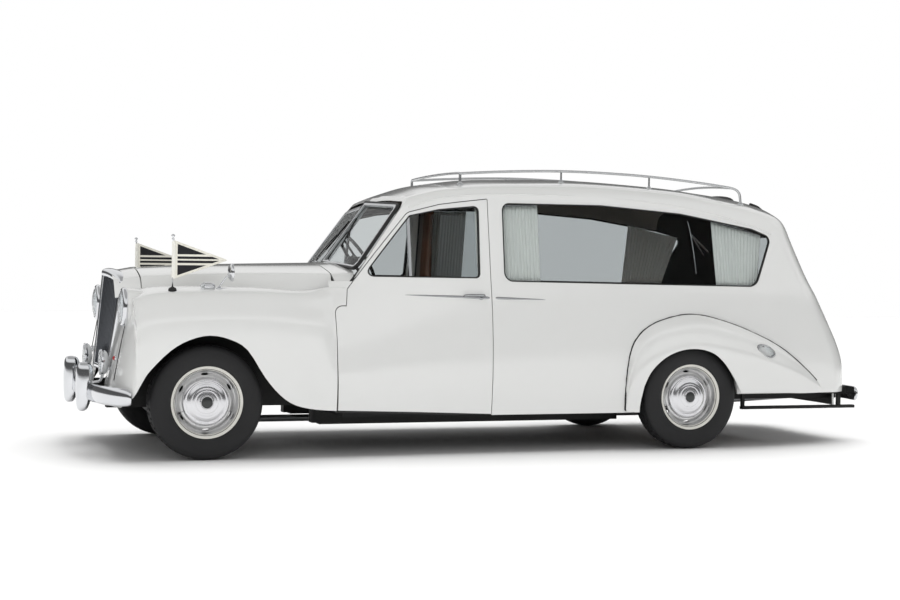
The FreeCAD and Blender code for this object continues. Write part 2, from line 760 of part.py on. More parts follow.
screen_prism = rear_prism(SCREEN, nose_end - 100.0, far + 100.0)
frame_prism = rear_prism(SCREEN_FRAME, nose_end, far).common(half_space)
frame_half = screen_slab(-screen_frame_depth, -seat_gap).common(frame_prism).cut(screen_prism)
screen_frame = fused([frame_half, mirrored(frame_half)])
export("screen_frame", screen_frame)
middle_x = 300.0                # inside the left pane
pane_outline = shrunk([(x - middle_x, z, radius) for x, z, radius in SCREEN], 1400.0)
pane_outline = [(x + middle_x, z, radius) for x, z, radius in pane_outline]
pane = rear_prism(pane_outline, nose_end, far).common(screen_slab(-screen_frame_depth + 3.0, -5.0))
side_pane_skin = body_loft(glass_inset).cut(body_loft(glass_inset + glass_wall))


def side_pane(outline):
    return side_pane_skin.common(side_prism(outline, side_in, half_width, -seat_gap))


export_both("body_glass", [pane, side_pane(SIDE_WINDOW)])

# ---------------------------------------------------------------- doors
# the door's rear face leans so that its inner corner clears the pillar while it swings
DOOR_EDGE = [(100, 846), (rocker_z, 846), (bulge_z, 862), (850, 850), (belt_z, 810), (1720, 698), (1900, 660)]
edge_lean = 0.24


edge_reach = 250.0


def door_edge_wire(z, x):
    corners = [
        (x + 150, door_rear),
        (x + 150, door_rear + 200),
        (x - edge_reach, door_rear + 200),
        (x - edge_reach, door_rear - edge_reach * edge_lean),
        (x, door_rear),
    ]
    corners = [Vector(a, b, z) for a, b in corners]
    return Part.makePolygon(corners + corners[:1])


door_back = Part.makeLoft([door_edge_wire(z, x) for z, x in DOOR_EDGE], True, True)
sill_half = floor_half + shut_gap
door_floor_cut = box(-sill_half, sill_half, door_front, door_rear, 0, floor_top)
door_opening = side_prism(DOOR_WINDOW, side_in, half_width)
door = shell.common(door_tool(0.0)).cut([door_back, door_floor_cut, door_opening])
vent_bar = shell.common(side_prism(DOOR_WINDOW, side_in, half_width, 2.0))
vent_bar = vent_bar.common(box(side_in, half_width, *VENT_BAR, 1100, 1700))
export_pair("door", fused([door, vent_bar]))
vent_hole = box(side_in, half_width, VENT_BAR[0] - seat_gap, VENT_BAR[1] + seat_gap, 1100, 1700)
export_pair("door_glass", side_pane(DOOR_WINDOW).cut(vent_hole))

# ---------------------------------------------------------------- tailgate
tail_window = rear_prism(TAIL_WINDOW, *tail_reach)
tailgate = shell.common(rear_prism(tail_outline(shut_gap), *tail_reach)).cut(tail_window)
tailgate = largest(tailgate)
export("tailgate", tailgate)
tail_skin = tail_loft(glass_inset).cut(tail_loft(glass_inset + glass_wall))
tail_pane = rear_prism(shrunk(TAIL_WINDOW, 1300.0), *tail_reach)
export("tailgate_glass", tail_skin.common(tail_pane))

# ---------------------------------------------------------------- roof rail, staffs, mirrors, side lamps
# One row a bend of the side rail: station, z. The second and third have posts under them.
RAIL_SIDE = [
    (front_axle + 1763, 1857),
    (front_axle + 2510, 1903),
    (front_axle + 3192, 1891),
    (front_axle + 3889, 1827),
    (front_axle + 3935, 1740),
]
rail_half = 500.0
rail_radius = 9.0
rail_bend = 40.0
hoop_bend = 30.0
rail_foot_z = 1740.0            # below the roof's skin
rail_post_radius = 8.0
rail_side = [pipe([(rail_half, y, z) for y, z in RAIL_SIDE], rail_radius, rail_bend)]
for y, z in RAIL_SIDE[1:3]:
    rail_side.append(cylinder((rail_half, y, z - 130), (rail_half, y, z), rail_post_radius))
rail_pieces = rail_side + [mirrored(piece) for piece in rail_side]
hoop_y, hoop_z = RAIL_SIDE[0]
hoop = [
    (-rail_half, hoop_y, rail_foot_z),
    (-rail_half, hoop_y, hoop_z),
    (rail_half, hoop_y, hoop_z),
    (rail_half, hoop_y, rail_foot_z),
]
rail_pieces.append(pipe(hoop, rail_radius, hoop_bend))
rear_bow = (front_axle + 3850, 1830.0)
rail_pieces.append(cylinder((-rail_half, *rear_bow), (rail_half, *rear_bow), rail_radius))
rail_seat = roof.copy()
rail_seat.translate(Vector(0, 0, seat_gap))
roof_rail = fused(rail_pieces).cut([roof, rail_seat])
roof_rail = largest(roof_rail)
export("roof_rail", roof_rail)

staff_x = 720.0
staff_y = front_axle - 207.0
staff_radius = 5.0
staff_top = 1397.0
staff_foot = 1027.0             # below the crown of the wing
knob_radius = 11.0
staffs = fused([
    cylinder((staff_x, staff_y, staff_foot), (staff_x, staff_y, staff_top - 14), staff_radius),
    cylinder((staff_x, staff_y, staff_foot), (staff_x, staff_y, staff_foot + 32), 26.0),
    Part.makeSphere(knob_radius, Vector(staff_x, staff_y, staff_top - knob_radius)),
])
export_both("pennant_staffs", [largest(staffs.cut(front_wing))])
flag_wall = 3.0
flag_y = staff_y + staff_radius + seat_gap
FLAG = [(flag_y, 1115, 0), (flag_y, 1360, 0), (front_axle + 129, 1240, 0)]
export_both("pennants", [side_prism(FLAG, staff_x - flag_wall / 2, staff_x + flag_wall / 2)])

mirror_foot = (700.0, front_axle + 88, 1040.0)
mirror_head = (750.0, front_axle + 138, 1163.0)
mirror_arm = fused([
    cylinder(mirror_foot, (mirror_foot[0], mirror_foot[1], 1070), 16.0),
    cylinder((mirror_foot[0], mirror_foot[1], 1060), (748, front_axle + 150, mirror_head[2]), 6.0),
    cylinder(mirror_head, (mirror_head[0], mirror_head[1] + 28, mirror_head[2]), 57.0),
])
lamp_x = 705.0
lamp_y = front_axle + 12.0
lamp_z = 1068.0
side_lamp = fused([
    Part.makeSphere(24.0, Vector(lamp_x, lamp_y, lamp_z)),
    cylinder((lamp_x, lamp_y - 22, lamp_z), (lamp_x, lamp_y + 48, lamp_z), 18.0),
    cylinder((lamp_x, lamp_y, lamp_z - 28), (lamp_x, lamp_y, lamp_z - 2), 18.0),
])
fittings = [largest(piece.cut(front_wing)) for piece in (mirror_arm, side_lamp)]
export_both("wing_fittings", fittings)

rear_lamp = (rear_axle + 572.0, 676.0)      # station and height
rear_lamp = cylinder((800, *rear_lamp), (915, *rear_lamp), 44.0)
rear_lamp = rear_lamp.cut([rear_wing, outer.common(tail_loft(0.0))])
rear_lamp = max(rear_lamp.Solids, key=lambda solid: solid.BoundBox.XMax)
export_both("rear_lamps", [rear_lamp])

# ---------------------------------------------------------------- wheels and tyres
hub_radius = 25.0
hub_in, hub_out = -55.0, 40.0       # the hub bore's ends, from the wheel's middle plane
rim_half = rim_width / 2.0
bead_half = rim_half - flange_wall  # the flanges' inner faces
dish_radius = 196.0                 # bottom of the rim's well, underneath
# offset from the wheel's middle plane (+ outwards) and radius
WHEEL = [
    (-rim_half, dish_radius),
    (-rim_half, flange_radius),
    (-bead_half, flange_radius),
    (-bead_half, rim_radius),
    (-40, rim_radius - 4),
    (-24, 186),
    (24, 186),
    (40, rim_radius - 4),
    (bead_half, rim_radius),
    (bead_half, flange_radius),
    (rim_half, flange_radius),
    (rim_half, dish_radius),
    (44, 190),
    (34, 176),
    (22, 150),
    (30, 110),
    (hub_out + 20, 70),
    (hub_out + 20, 30),
    (hub_out, hub_radius + run_clearance),
    (hub_in, hub_radius + run_clearance),
    (hub_in, 62),
    (2, 70),
    (8, 150),
    (8, 174),
    (-24, 174),
    (-44, 190),
]
tyre_half = tyre_width / 2.0
TYRE_SIDE = [
    (bead_half - 2, rim_radius + seat_gap),
    (bead_half - 1, flange_radius + 4),
    (tyre_half - 1, tyre_radius - 96),
    (tyre_half, tyre_radius - 58),
    (tyre_half - 13, tyre_radius - 16),
    (tyre_half - 35, tyre_radius - 4),
]
TYRE = [(-a, r) for a, r in TYRE_SIDE] + [(0, tyre_radius)] + TYRE_SIDE[::-1]
TYRE += [(38, rim_radius - 3), (-38, rim_radius - 3)]
wheel_slots = 6
slot_radius = 162.0
slot_half = 10.0


def wheel_at(x, y):
    """A left-hand wheel, its dish facing +X."""
    wheel = revolved(WHEEL, x, y, wheel_z)
    slots = []
    for i in range(wheel_slots):
        angle = 2 * math.pi * i / wheel_slots
        b, c = y + slot_radius * math.cos(angle), wheel_z + slot_radius * math.sin(angle)
        slots.append(cylinder((x - 20, b, c), (x + 60, b, c), slot_half))
    return wheel.cut(slots)


WHEELS = [("front", front_track / 2.0, front_axle), ("rear", rear_track / 2.0, rear_axle)]
for place, x, y in WHEELS:
    export_pair("wheel_" + place, wheel_at(x, y))
    export_pair("tyre_" + place, revolved(TYRE, x, y, wheel_z))

# ---------------------------------------------------------------- chassis, axles, engine, exhaust
kingpin_x = 650.0
kingpin_radius = 12.0
upright_half = 24.0
upright_low, upright_high = 320.0, 410.0
kingpin_low, kingpin_high = upright_low - 7.0, upright_high + 60.0

hub_x = front_track / 2.0
stub_in = kingpin_x + upright_half - 4.0
knuckle = fused([
    box(kingpin_x - upright_half, kingpin_x + upright_half, front_axle - 30, front_axle + 30,
        upright_low, upright_high),
    cylinder((stub_in, front_axle, wheel_z), (hub_x + hub_out - 6, front_axle, wheel_z), hub_radius),
    cylinder((stub_in, front_axle, wheel_z), (hub_x + hub_in - 1.5, front_axle, wheel_z), 44.0),
])
pin_hole = cylinder((kingpin_x, front_axle, 200), (kingpin_x, front_axle, 500), kingpin_radius + run_clearance)
export_pair("knuckle", knuckle.cut(pin_hole))

# the rails run low under the floor and over the rear axle
rail_top = rail_z + rail_height
low_rail = 170.0
arch_low, arch_high = 470.0, 560.0
kick_up = rear_axle - 340.0
kick_down = rear_axle + 400.0
tail_rail_top = 368.0
chassis = []
for x in (-rail_x, rail_x):
    x0, x1 = x - rail_width / 2, x + rail_width / 2
    chassis.append(box(x0, x1, rail_front, door_front + 30, rail_z, rail_top))
    chassis.append(box(x0, x1, door_front - 20, door_front + 40, low_rail + 10, rail_top - 40))
    chassis.append(box(x0, x1, door_front + 30, kick_up - 80, low_rail, rocker_z - seat_gap))
    chassis.append(box(x0, x1, kick_up - 88, kick_up, low_rail, arch_high))
    chassis.append(box(x0, x1, kick_up, kick_down + 20, arch_low, arch_high))
    chassis.append(box(x0, x1, kick_down, kick_down + 40, rail_z, arch_high))
    chassis.append(box(x0, x1, kick_down, frame_end, rail_z, tail_rail_top))
# One row a cross member: station, underside and top.
CROSS_MEMBERS = [
    (rail_front + 56, 320, 400),
    (door_front + 400, 180, 240),
    (door_rear + 400, 180, 240),
    (kick_down + 400, 310, 360),
    (frame_end - 60, 310, 360),
]
for y, z0, z1 in CROSS_MEMBERS:
    chassis.append(box(-rail_x, rail_x, y - 40, y + 40, z0, z1))
chassis_frame = fused(chassis)
export("chassis_frame", chassis_frame)

beam_low, beam_high = 255.0, rail_z - seat_gap
front_beam = [
    box(-kingpin_x + 60, kingpin_x - 60, front_axle - 35, front_axle + 35, beam_low, beam_high),
    box(-rail_x, rail_x, front_axle - 35, front_axle + 35, beam_low - 45, beam_low + 1),
]
for side in (-1, 1):
    x = side * kingpin_x
    x0, x1 = sorted((x, side * (kingpin_x - 90)))
    front_beam.append(box(x0, x1, front_axle - 28, front_axle + 28, beam_low, 299))
    front_beam.append(cylinder((x, front_axle, beam_low), (x, front_axle, kingpin_low), 28.0))
    front_beam.append(cylinder((x, front_axle, 300), (x, front_axle, kingpin_high), kingpin_radius))
    front_beam.append(cylinder((x, front_axle, upright_high + 7), (x, front_axle, kingpin_high), 26.0))
    x0, x1 = sorted((x, side * (rail_out + 5)))
    front_beam.append(box(x0, x1, front_axle - 20, front_axle + 20, 425, 465))
front_beam = fused(front_beam)
export("front_suspension", front_beam)

half_track = rear_track / 2.0
spring_half = 330.0
spring_low = 398.0
stub_end = half_track + hub_out - 6.0
tube_end = half_track + hub_in - 1.5
rear_beam = [
    cylinder((-stub_end, rear_axle, wheel_z), (stub_end, rear_axle, wheel_z), hub_radius),
    cylinder((-tube_end, rear_axle, wheel_z), (tube_end, rear_axle, wheel_z), 42.0),
    cylinder((0, rear_axle - 100, wheel_z), (0, rear_axle + 90, wheel_z), 112.0),
]
for x in (-rail_x, rail_x):
    x0, x1 = x - 30, x + 30
    y0, y1 = rear_axle - spring_half, rear_axle + spring_half
    rear_beam.append(box(x0, x1, y0, y1, spring_low, spring_low + 32))
    rear_beam.append(box(x0, x1, y0, y0 + 30, spring_low, arch_low - seat_gap))
    rear_beam.append(box(x0, x1, y1 - 30, y1, spring_low, arch_low - seat_gap))
export("rear_axle", fused(rear_beam))

# the engine's and the radiator's mounting bars reach from rail to rail
mount_end = rail_in - seat_gap
engine_front = front_axle - 80.0
engine = fused([
    box(-150, 150, engine_front, engine_front + 720, 330, 900),
    box(-mount_end, mount_end, engine_front + 280, engine_front + 340, 350, 400),
    box(-60, 60, engine_front, engine_front + 600, 900, 960),
])
export("engine_block", engine)
radiator_front = front_axle - 420.0
radiator = fused([
    box(-240, 240, radiator_front, radiator_front + 80, 420, 1000),
    box(-mount_end, mount_end, radiator_front + 10, radiator_front + 70, 380, 420),
])
export("radiator", radiator)
exhaust_x = -250.0
exhaust_z = 150.0
EXHAUST = [
    (exhaust_x, front_axle + 420, 300),
    (exhaust_x, front_axle + 480, exhaust_z),
    (exhaust_x, rear_axle + 200, exhaust_z),
    (exhaust_x, rear_axle + 700, 225),
    (exhaust_x, tail_end - 110, 262),
]
export("exhaust", pipe(EXHAUST, 24.0, 60.0))

apron_low = rail_top + seat_gap     # the inner wings stand on the rails
apron_front = front_axle - 385.0
inner_wing = fused([
    box(rail_out + 18, rail_out + 32, apron_front, door_front + 46, apron_low, 1020),
    box(rail_in, rail_out + 32, apron_front, door_front + 30, apron_low, rail_top + 20),
])
export_both("inner_wings", [inner_wing.cut([front_wing, front_beam])])

# ---------------------------------------------------------------- cab and load space
dashboard = fused([
    box(-560, 560, front_axle + 990, front_axle + 1120, 1010, 1150),
    box(-640, 640, front_axle + 1040, front_axle + 1120, 1000, 1120),
])
dashboard = dashboard.cut(scuttle_solid.cut(bonnet_loft(SCUTTLE, scuttle_wall + 1.0, low_foot)))

wheel_tilt = 35.0
steering_radius = 200.0
spoke_radius = 8.0
spoke_length = steering_radius - 2.0
rim_middle = Vector(-370.0, front_axle + 1310.0, 1285.0)
column_axis = Vector(0, -math.cos(math.radians(wheel_tilt)), -math.sin(math.radians(wheel_tilt)))
across = Vector(1, 0, 0)
spoke_middle = rim_middle + column_axis * 8.0
column_radius = 16.0
column_start = rim_middle + column_axis * 60.0
steering_wheel = fused([
    Part.makeTorus(steering_radius, 12.0, rim_middle, column_axis),
    Part.makeCylinder(30.0, 66.0, rim_middle + column_axis * 4.0, column_axis),
    Part.makeCylinder(spoke_radius, 2 * spoke_length, spoke_middle - across * spoke_length, across),
    Part.makeCylinder(spoke_radius, spoke_length, spoke_middle, column_axis.cross(across)),
    Part.makeCylinder(column_radius, 280.0, column_start, column_axis),
])
export("steering_wheel", steering_wheel)
column_hole = Part.makeCylinder(column_radius + shut_gap, 420.0, column_start, column_axis)
export("dashboard", dashboard.cut(column_hole))

cushion_front = front_axle + 1300.0
cushion_top = 600.0
SEAT_BACK = [
    (cushion_front + 400, cushion_top + 2, 30),
    (cushion_front + 462, cushion_top + 2, 20),
    (cushion_front + 570, 1130, 35),
    (cushion_front + 470, 1130, 35),
]
front_seat = fused([
    box(60, 610, cushion_front, cushion_front + 460, 470, cushion_top),
    side_prism(SEAT_BACK, 60, 610),
    box(90, 580, cushion_front + 40, cushion_front + 420, floor_top + seat_gap, 472),
    box(90, 580, cushion_front + 380, cushion_front + 440, 560, 680),
])
export_both("front_seats", [front_seat])

inside = body_loft(wall + seat_gap)
partition_wall = 22.0
partition_back = partition_y + partition_wall
partition_pane_wall = 6.0
partition = inside.common(box(-half_width, half_width, partition_y, partition_back, floor_top + 2.0, 1900))
PARTITION_WINDOW = [(-540, 1150, 30), (-500, 1640, 30), (500, 1640, 30), (540, 1150, 30)]
partition = partition.cut([rear_prism(PARTITION_WINDOW, partition_y - 50, partition_y + 100), roof])
export("partition", partition)
pane_y = partition_y + (partition_wall - partition_pane_wall) / 2.0
partition_pane = rear_prism(shrunk(PARTITION_WINDOW, 1300.0), pane_y, pane_y + partition_pane_wall)
export("partition_glass", partition_pane)

deck_front = partition_back + seat_gap
deck_back = rear_axle + 980.0
deck_wall_top = deck_z - 20.0       # the walls run up into the deck
deck_wall_half = 15.0
riser_half = 30.0
load_deck = [inside.common(box(-half_width, half_width, deck_front, deck_back, deck_z - deck_wall, deck_z))]
for x in (-575, 575):
    load_deck.append(box(x - deck_wall_half, x + deck_wall_half, deck_front, floor_back - 10,
                         floor_top + seat_gap, deck_wall_top))
for x in (-rail_x, rail_x):
    x0, x1 = x - riser_half, x + riser_half
    load_deck.append(box(x0, x1, kick_up + 40, kick_down - 20, arch_high + seat_gap, deck_wall_top))
    load_deck.append(box(x0, x1, kick_down + 80, deck_back, tail_rail_top + seat_gap, deck_wall_top))
load_deck = fused(load_deck).cut([side_left, mirrored(side_left)])
export("load_deck", largest(load_deck))

curtain_wall = 14.0
curtain_foot = 1130.0
CURTAINS = [
    [
        (front_axle + 1985, curtain_foot, 0),
        (front_axle + 1985, 1640, 0),
        (front_axle + 2260, 1650, 0),
        (front_axle + 2260, curtain_foot, 0),
    ],
    [
        (front_axle + 3610, curtain_foot, 0),
        (front_axle + 3610, 1580, 0),
        (front_axle + 4040, 1490, 0),
        (front_axle + 3960, curtain_foot, 0),
    ],
]
curtain_skin = body_loft(wall + seat_gap).cut(body_loft(wall + curtain_wall))
export_both("curtains", [curtain_skin.common(side_prism(outline, side_in, half_width)) for outline in CURTAINS])
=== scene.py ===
"""A white hearse: its body panels, glass, brightwork, wheels and cloth, on a white studio floor."""

import math
from contextlib import contextmanager

import bmesh
import bpy
from bpy.props import FloatProperty, FloatVectorProperty, IntProperty, PointerProperty
from bpy.types import Operator, Panel, PropertyGroup
from mathutils import Matrix, Vector
from mathutils.bvhtree import BVHTree


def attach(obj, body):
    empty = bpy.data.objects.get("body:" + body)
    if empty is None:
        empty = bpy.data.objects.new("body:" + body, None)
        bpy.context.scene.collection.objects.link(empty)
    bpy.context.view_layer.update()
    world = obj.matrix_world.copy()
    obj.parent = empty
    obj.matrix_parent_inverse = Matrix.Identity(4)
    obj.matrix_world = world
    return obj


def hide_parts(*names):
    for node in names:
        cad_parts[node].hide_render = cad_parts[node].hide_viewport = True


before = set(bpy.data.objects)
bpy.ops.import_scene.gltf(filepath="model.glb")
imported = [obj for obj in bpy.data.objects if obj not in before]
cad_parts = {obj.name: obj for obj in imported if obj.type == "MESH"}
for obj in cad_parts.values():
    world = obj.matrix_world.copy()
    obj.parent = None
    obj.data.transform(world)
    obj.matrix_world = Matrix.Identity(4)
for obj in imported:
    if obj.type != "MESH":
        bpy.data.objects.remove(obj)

bl_info = {
    "name": "Hearse",
    "version": (1, 0, 0),
    "blender": (4, 5, 0),
    "location": "3D View > Sidebar > Hearse",
    "description": "Body panels, fittings and stage of a white hearse",
    "category": "Object",
}

MM = 0.001
MIDDLE = 2101.5                     # station of the origin, behind the front axle
WHEEL_HEIGHT = 358                  # height of the wheels' centres
REAR_AXLE = 3353                    # station of the rear axle
TAIL_CORNER = 294.0                 # how far ahead of the tail's middle line its corners begin
CLOTH = 0.0012                      # thickness of the curtains' and pennants' cloth, in metres
PANEL_BEVEL = 0.0012                # rounding of a wing's or bonnet's edges, in metres
HANDS = ((1, "left"), (-1, "right"))


def length(name, description, default):
    """A size in metres that a user may change."""
    return FloatProperty(name=name, description=description, default=default, min=0.0, precision=4, unit="LENGTH",
                         subtype="DISTANCE")


def colour(name, description, default):
    """A linear colour that a user may change."""
    return FloatVectorProperty(name=name, description=description, default=default, min=0.0, max=1.0, size=3,
                               subtype="COLOR")


class HearseSizes(PropertyGroup):
    panel_gap: length("Panel gap", "Gap round the doors and the tailgate", 0.0055)
    panel_thickness: length("Panel thickness", "Thickness of the body shell, edges folded in", 0.016)
    seal_width: length("Window seal", "Width of the rubber round the side windows", 0.008)
    trim_half: length("Side trim", "Half height of the bright side trim at the door's rear edge", 0.0115)
    piping_radius: length("Wing piping", "Radius of the piping along the rear wings", 0.0055)
    gutter_radius: length("Gutter", "Radius of the gutter over the doors and windows", 0.005)
    rail_radius: length("Roof rail", "Radius of the roof rail's tube", 0.009)
    pennant_length: length("Pennant length", "Length of a pennant from its staff", 0.336)
    pennant_height: length("Pennant height", "Height of a pennant at its staff", 0.245)
    curtain_pitch: length("Curtain fold pitch", "Distance between two folds of a curtain", 0.022)
    curtain_depth: length("Curtain fold depth", "Depth of a curtain's folds", 0.003)
    channel_depth: length("Seat channel depth", "Depth of the seams sewn across a seat", 0.007)
    seat_channels: IntProperty(name="Seat channels", description="Sewn channels across each front seat", default=7,
                               min=1, max=16)
    slat_count: IntProperty(name="Grille slats", description="Slats on each side of the grille's middle bar",
                            default=11, min=1, max=24)
    key_power: FloatProperty(name="Key light", description="Power of the soft light beside the car", default=120.0,
                             min=0.0, unit="POWER")
    floor_light: FloatProperty(name="Floor light", description="Strength of the light that falls on the floor",
                               default=3.1, min=0.0)


class HearseColours(PropertyGroup):
    paint: colour("Paint", "White paint of the body", (0.735, 0.74, 0.73))
    glass: colour("Glass", "Tint of the window glass", (0.65, 0.675, 0.68))
    chrome: colour("Chrome", "Bright metal of the bumpers, lamps and trim", (0.70, 0.71, 0.73))
    cream: colour("Wheel trim", "Cream enamel of the wheels' outer rings", (0.70, 0.69, 0.64))
    tyre: colour("Tyre", "Tyre rubber", (0.011, 0.011, 0.012))
    curtain: colour("Curtain", "Pale cloth of the curtains", (0.93, 0.94, 0.90))
    leather: colour("Leather", "Leather of the front seats", (0.13, 0.12, 0.11))
    wood: colour("Wood", "Varnished wood of the partition and dashboard", (0.16, 0.055, 0.022))
    lining: colour("Lining", "Cloth lining of the roof and doors", (0.26, 0.245, 0.225))


def sizes():
    """The sizes that the panel shows."""
    return bpy.context.scene.hearse_sizes


# ---- geometry helpers
def at(x, station, z):
    """Car measures in millimetres (x, distance behind the front axle, z) as a place in the scene."""
    return Vector((x * MM, (station - MIDDLE) * MM, z * MM))


def linked(obj):
    """Puts a new object in the scene."""
    bpy.context.scene.collection.objects.link(obj)
    return obj


def copied(obj):
    """A copy of an object with a mesh of its own."""
    twin = obj.copy()
    twin.data = obj.data.copy()
    return linked(twin)


def to_object(bm, smooth=True, recalc=True):
    """An object with the bmesh's shape and one empty material slot, which named() fills."""
    if recalc:
        bmesh.ops.recalc_face_normals(bm, faces=bm.faces)
    mesh = bpy.data.meshes.new("piece")
    bm.to_mesh(mesh)
    bm.free()
    for polygon in mesh.polygons:
        polygon.use_smooth = smooth
    mesh.materials.append(None)
    return linked(bpy.data.objects.new("piece", mesh))


@contextmanager
def edited(obj):
    """A bmesh of the object's mesh, written back at the end of the block."""
    bm = bmesh.new()
    bm.from_mesh(obj.data)
    yield bm
    bm.to_mesh(obj.data)
    bm.free()


def everything(bm):
    """All of a bmesh's elements, as its operators take them."""
    return bm.verts[:] + bm.edges[:] + bm.faces[:]


def baked(obj):
    """Applies every modifier of obj."""
    depsgraph = bpy.context.evaluated_depsgraph_get()
    mesh = bpy.data.meshes.new_from_object(obj.evaluated_get(depsgraph))
    obj.modifiers.clear()
    old = obj.data
    obj.data = mesh
    bpy.data.meshes.remove(old)
    return obj


def add(obj, kind, **values):
    """Adds a modifier with its settings."""
    modifier = obj.modifiers.new(kind.title(), kind)
    for key, value in values.items():
        setattr(modifier, key, value)
    return modifier


def outline_face(points, place):
    """A flat face through (a, b, corner radius) points with its corners rounded; place maps (a, b) to the scene."""
    bm = bmesh.new()
    places = [place(a, b) for a, b, _ in points]
    verts = [bm.verts.new(p) for p in places]
    bm.faces.new(verts)
    for i, (vert, (_, _, radius)) in enumerate(zip(verts, points)):
        if radius:
            u, v = places[i - 1] - places[i], places[(i + 1) % len(places)] - places[i]
            bmesh.ops.bevel(bm, geom=[vert], offset=radius * MM / math.tan(u.angle(v) / 2.0), offset_type="OFFSET",
                            segments=8, profile=0.5, affect="VERTICES", material=-1, clamp_overlap=False)
    return bm


def extrude(bm, shift):
    """Closes the bmesh's faces into a solid that reaches as far as shift."""
    ring = bmesh.ops.extrude_face_region(bm, geom=bm.faces[:], use_keep_orig=True)
    moved = [g for g in ring["geom"] if isinstance(g, bmesh.types.BMVert)]
    bmesh.ops.translate(bm, vec=shift, verts=moved)


def prism_mesh(points, axis, low, high):
    """A prism through (a, b, corner radius) points. axis X runs a side view across, axis Y a rear view along."""
    def place(a, b):
        return at(low, a, b) if axis == "X" else at(a, low, b)

    bm = outline_face(points, place)
    extrude(bm, Vector(((high - low) * MM, 0, 0) if axis == "X" else (0, (high - low) * MM, 0)))
    bmesh.ops.recalc_face_normals(bm, faces=bm.faces)
    mesh = bpy.data.meshes.new("prism")
    bm.to_mesh(mesh)
    bm.free()
    return mesh


def grown(points, gap):
    """The outline moved outwards by gap, corner by corner."""
    area = sum(points[i - 1][0] * points[i][1] - points[i][0] * points[i - 1][1] for i in range(len(points)))
    sign = 1.0 if area > 0 else -1.0
    result = []
    for i, (a, b, radius) in enumerate(points):
        before, after = points[i - 1], points[(i + 1) % len(points)]
        u = Vector((a - before[0], b - before[1])).normalized()
        v = Vector((after[0] - a, after[1] - b)).normalized()
        n = Vector((u.y + v.y, -u.x - v.x)) * sign
        n = n / max(0.3, n.length_squared / 2.0)
        result.append((a + n.x * gap, b + n.y * gap, max(0.0, radius + gap) if radius else 0))
    return result


def cutter(prisms):
    """One hidden object holding several prisms, for a Boolean."""
    bm = bmesh.new()
    for prism in prisms:
        mesh = prism_mesh(*prism)
        bm.from_mesh(mesh)
        bpy.data.meshes.remove(mesh)
    return to_object(bm, smooth=False)


def through_side(outline, side=1, spare=0):
    """A side-view prism that passes through one side of the body."""
    low, high = sorted((side * (300 - spare), side * (1000 + spare)))
    return outline, "X", low, high


def through_both(outline):
    """A side-view prism through each side of the body."""
    return [through_side(outline), through_side(outline, -1)]


def through_tail(outline, spare=0):
    """A rear-view prism that passes through the tail."""
    return outline, "Y", 4200 - spare, 5000 + spare


def carved(obj, keep=(), cut=(), bevel=0.0015, segments=2):
    """Keeps obj inside the prisms in keep, removes those in cut, and rounds the edges."""
    tools = []
    for prisms, operation in ((keep, "INTERSECT"), (cut, "DIFFERENCE")):
        if prisms:
            tool = cutter(prisms)
            tools.append(tool)
            add(obj, "BOOLEAN", object=tool, operation=operation, solver="EXACT")
    baked(obj)
    for tool in tools:
        bpy.data.objects.remove(tool)
    if bevel:
        add(obj, "BEVEL", width=bevel, segments=segments, limit_method="ANGLE", angle_limit=math.radians(40),
            harden_normals=False)
        baked(obj)
    return sharp(obj)


def sharp(obj, angle=35.0):
    """Smooth shading that breaks at edges steeper than angle and keeps wide faces flat."""
    for polygon in obj.data.polygons:
        polygon.use_smooth = True
    obj.data.set_sharp_from_angle(angle=math.radians(angle))
    add(obj, "WEIGHTED_NORMAL", keep_sharp=True, weight=50)
    return baked(obj)


def cage(rows, mirror):
    """A grid whose vertices take the given rows of places, with its mirror image on request."""
    count_u, count_v = len(rows), len(rows[0])
    bm = bmesh.new()
    bmesh.ops.create_grid(bm, x_segments=count_u - 1, y_segments=count_v - 1, size=1.0)
    for vert in bm.verts:
        u = round((vert.co.x + 1.0) / 2.0 * (count_u - 1))
        v = round((vert.co.y + 1.0) / 2.0 * (count_v - 1))
        vert.co = rows[u][v]
    if mirror:
        bmesh.ops.mirror(bm, geom=everything(bm), merge_dist=0.0005, axis="X")
    return bm


def tightened(rows):
    """Moves inner control points out so that the smoothed surface passes close to the given ones."""
    result = [[p.copy() for p in row] for row in rows]
    for i in range(len(rows)):
        for j in range(len(rows[0])):
            shift = Vector()
            if 0 < i < len(rows) - 1:
                shift += 2 * rows[i][j] - rows[i - 1][j] - rows[i + 1][j]
            if 0 < j < len(rows[0]) - 1:
                shift += 2 * rows[i][j] - rows[i][j - 1] - rows[i][j + 1]
            result[i][j] += shift / 6.0
    return result


def parabola(points, t):
    """The value at t of the parabola through three (t, value) points."""
    (a, fa), (b, fb), (c, fc) = points
    return (fa * (t - b) * (t - c) / ((a - b) * (a - c)) + fb * (t - a) * (t - c) / ((b - a) * (b - c))
            + fc * (t - a) * (t - b) / ((c - a) * (c - b)))


def table_at(table, key):
    """A row of the table at key, between its rows by straight lines."""
    rows = sorted(table)
    if key <= rows[0][0]:
        return rows[0][1:]
    for low, high in zip(rows, rows[1:]):
        if key <= high[0]:
            t = (key - low[0]) / (high[0] - low[0])
            return tuple(p + (q - p) * t for p, q in zip(low[1:], high[1:]))
    return rows[-1][1:]


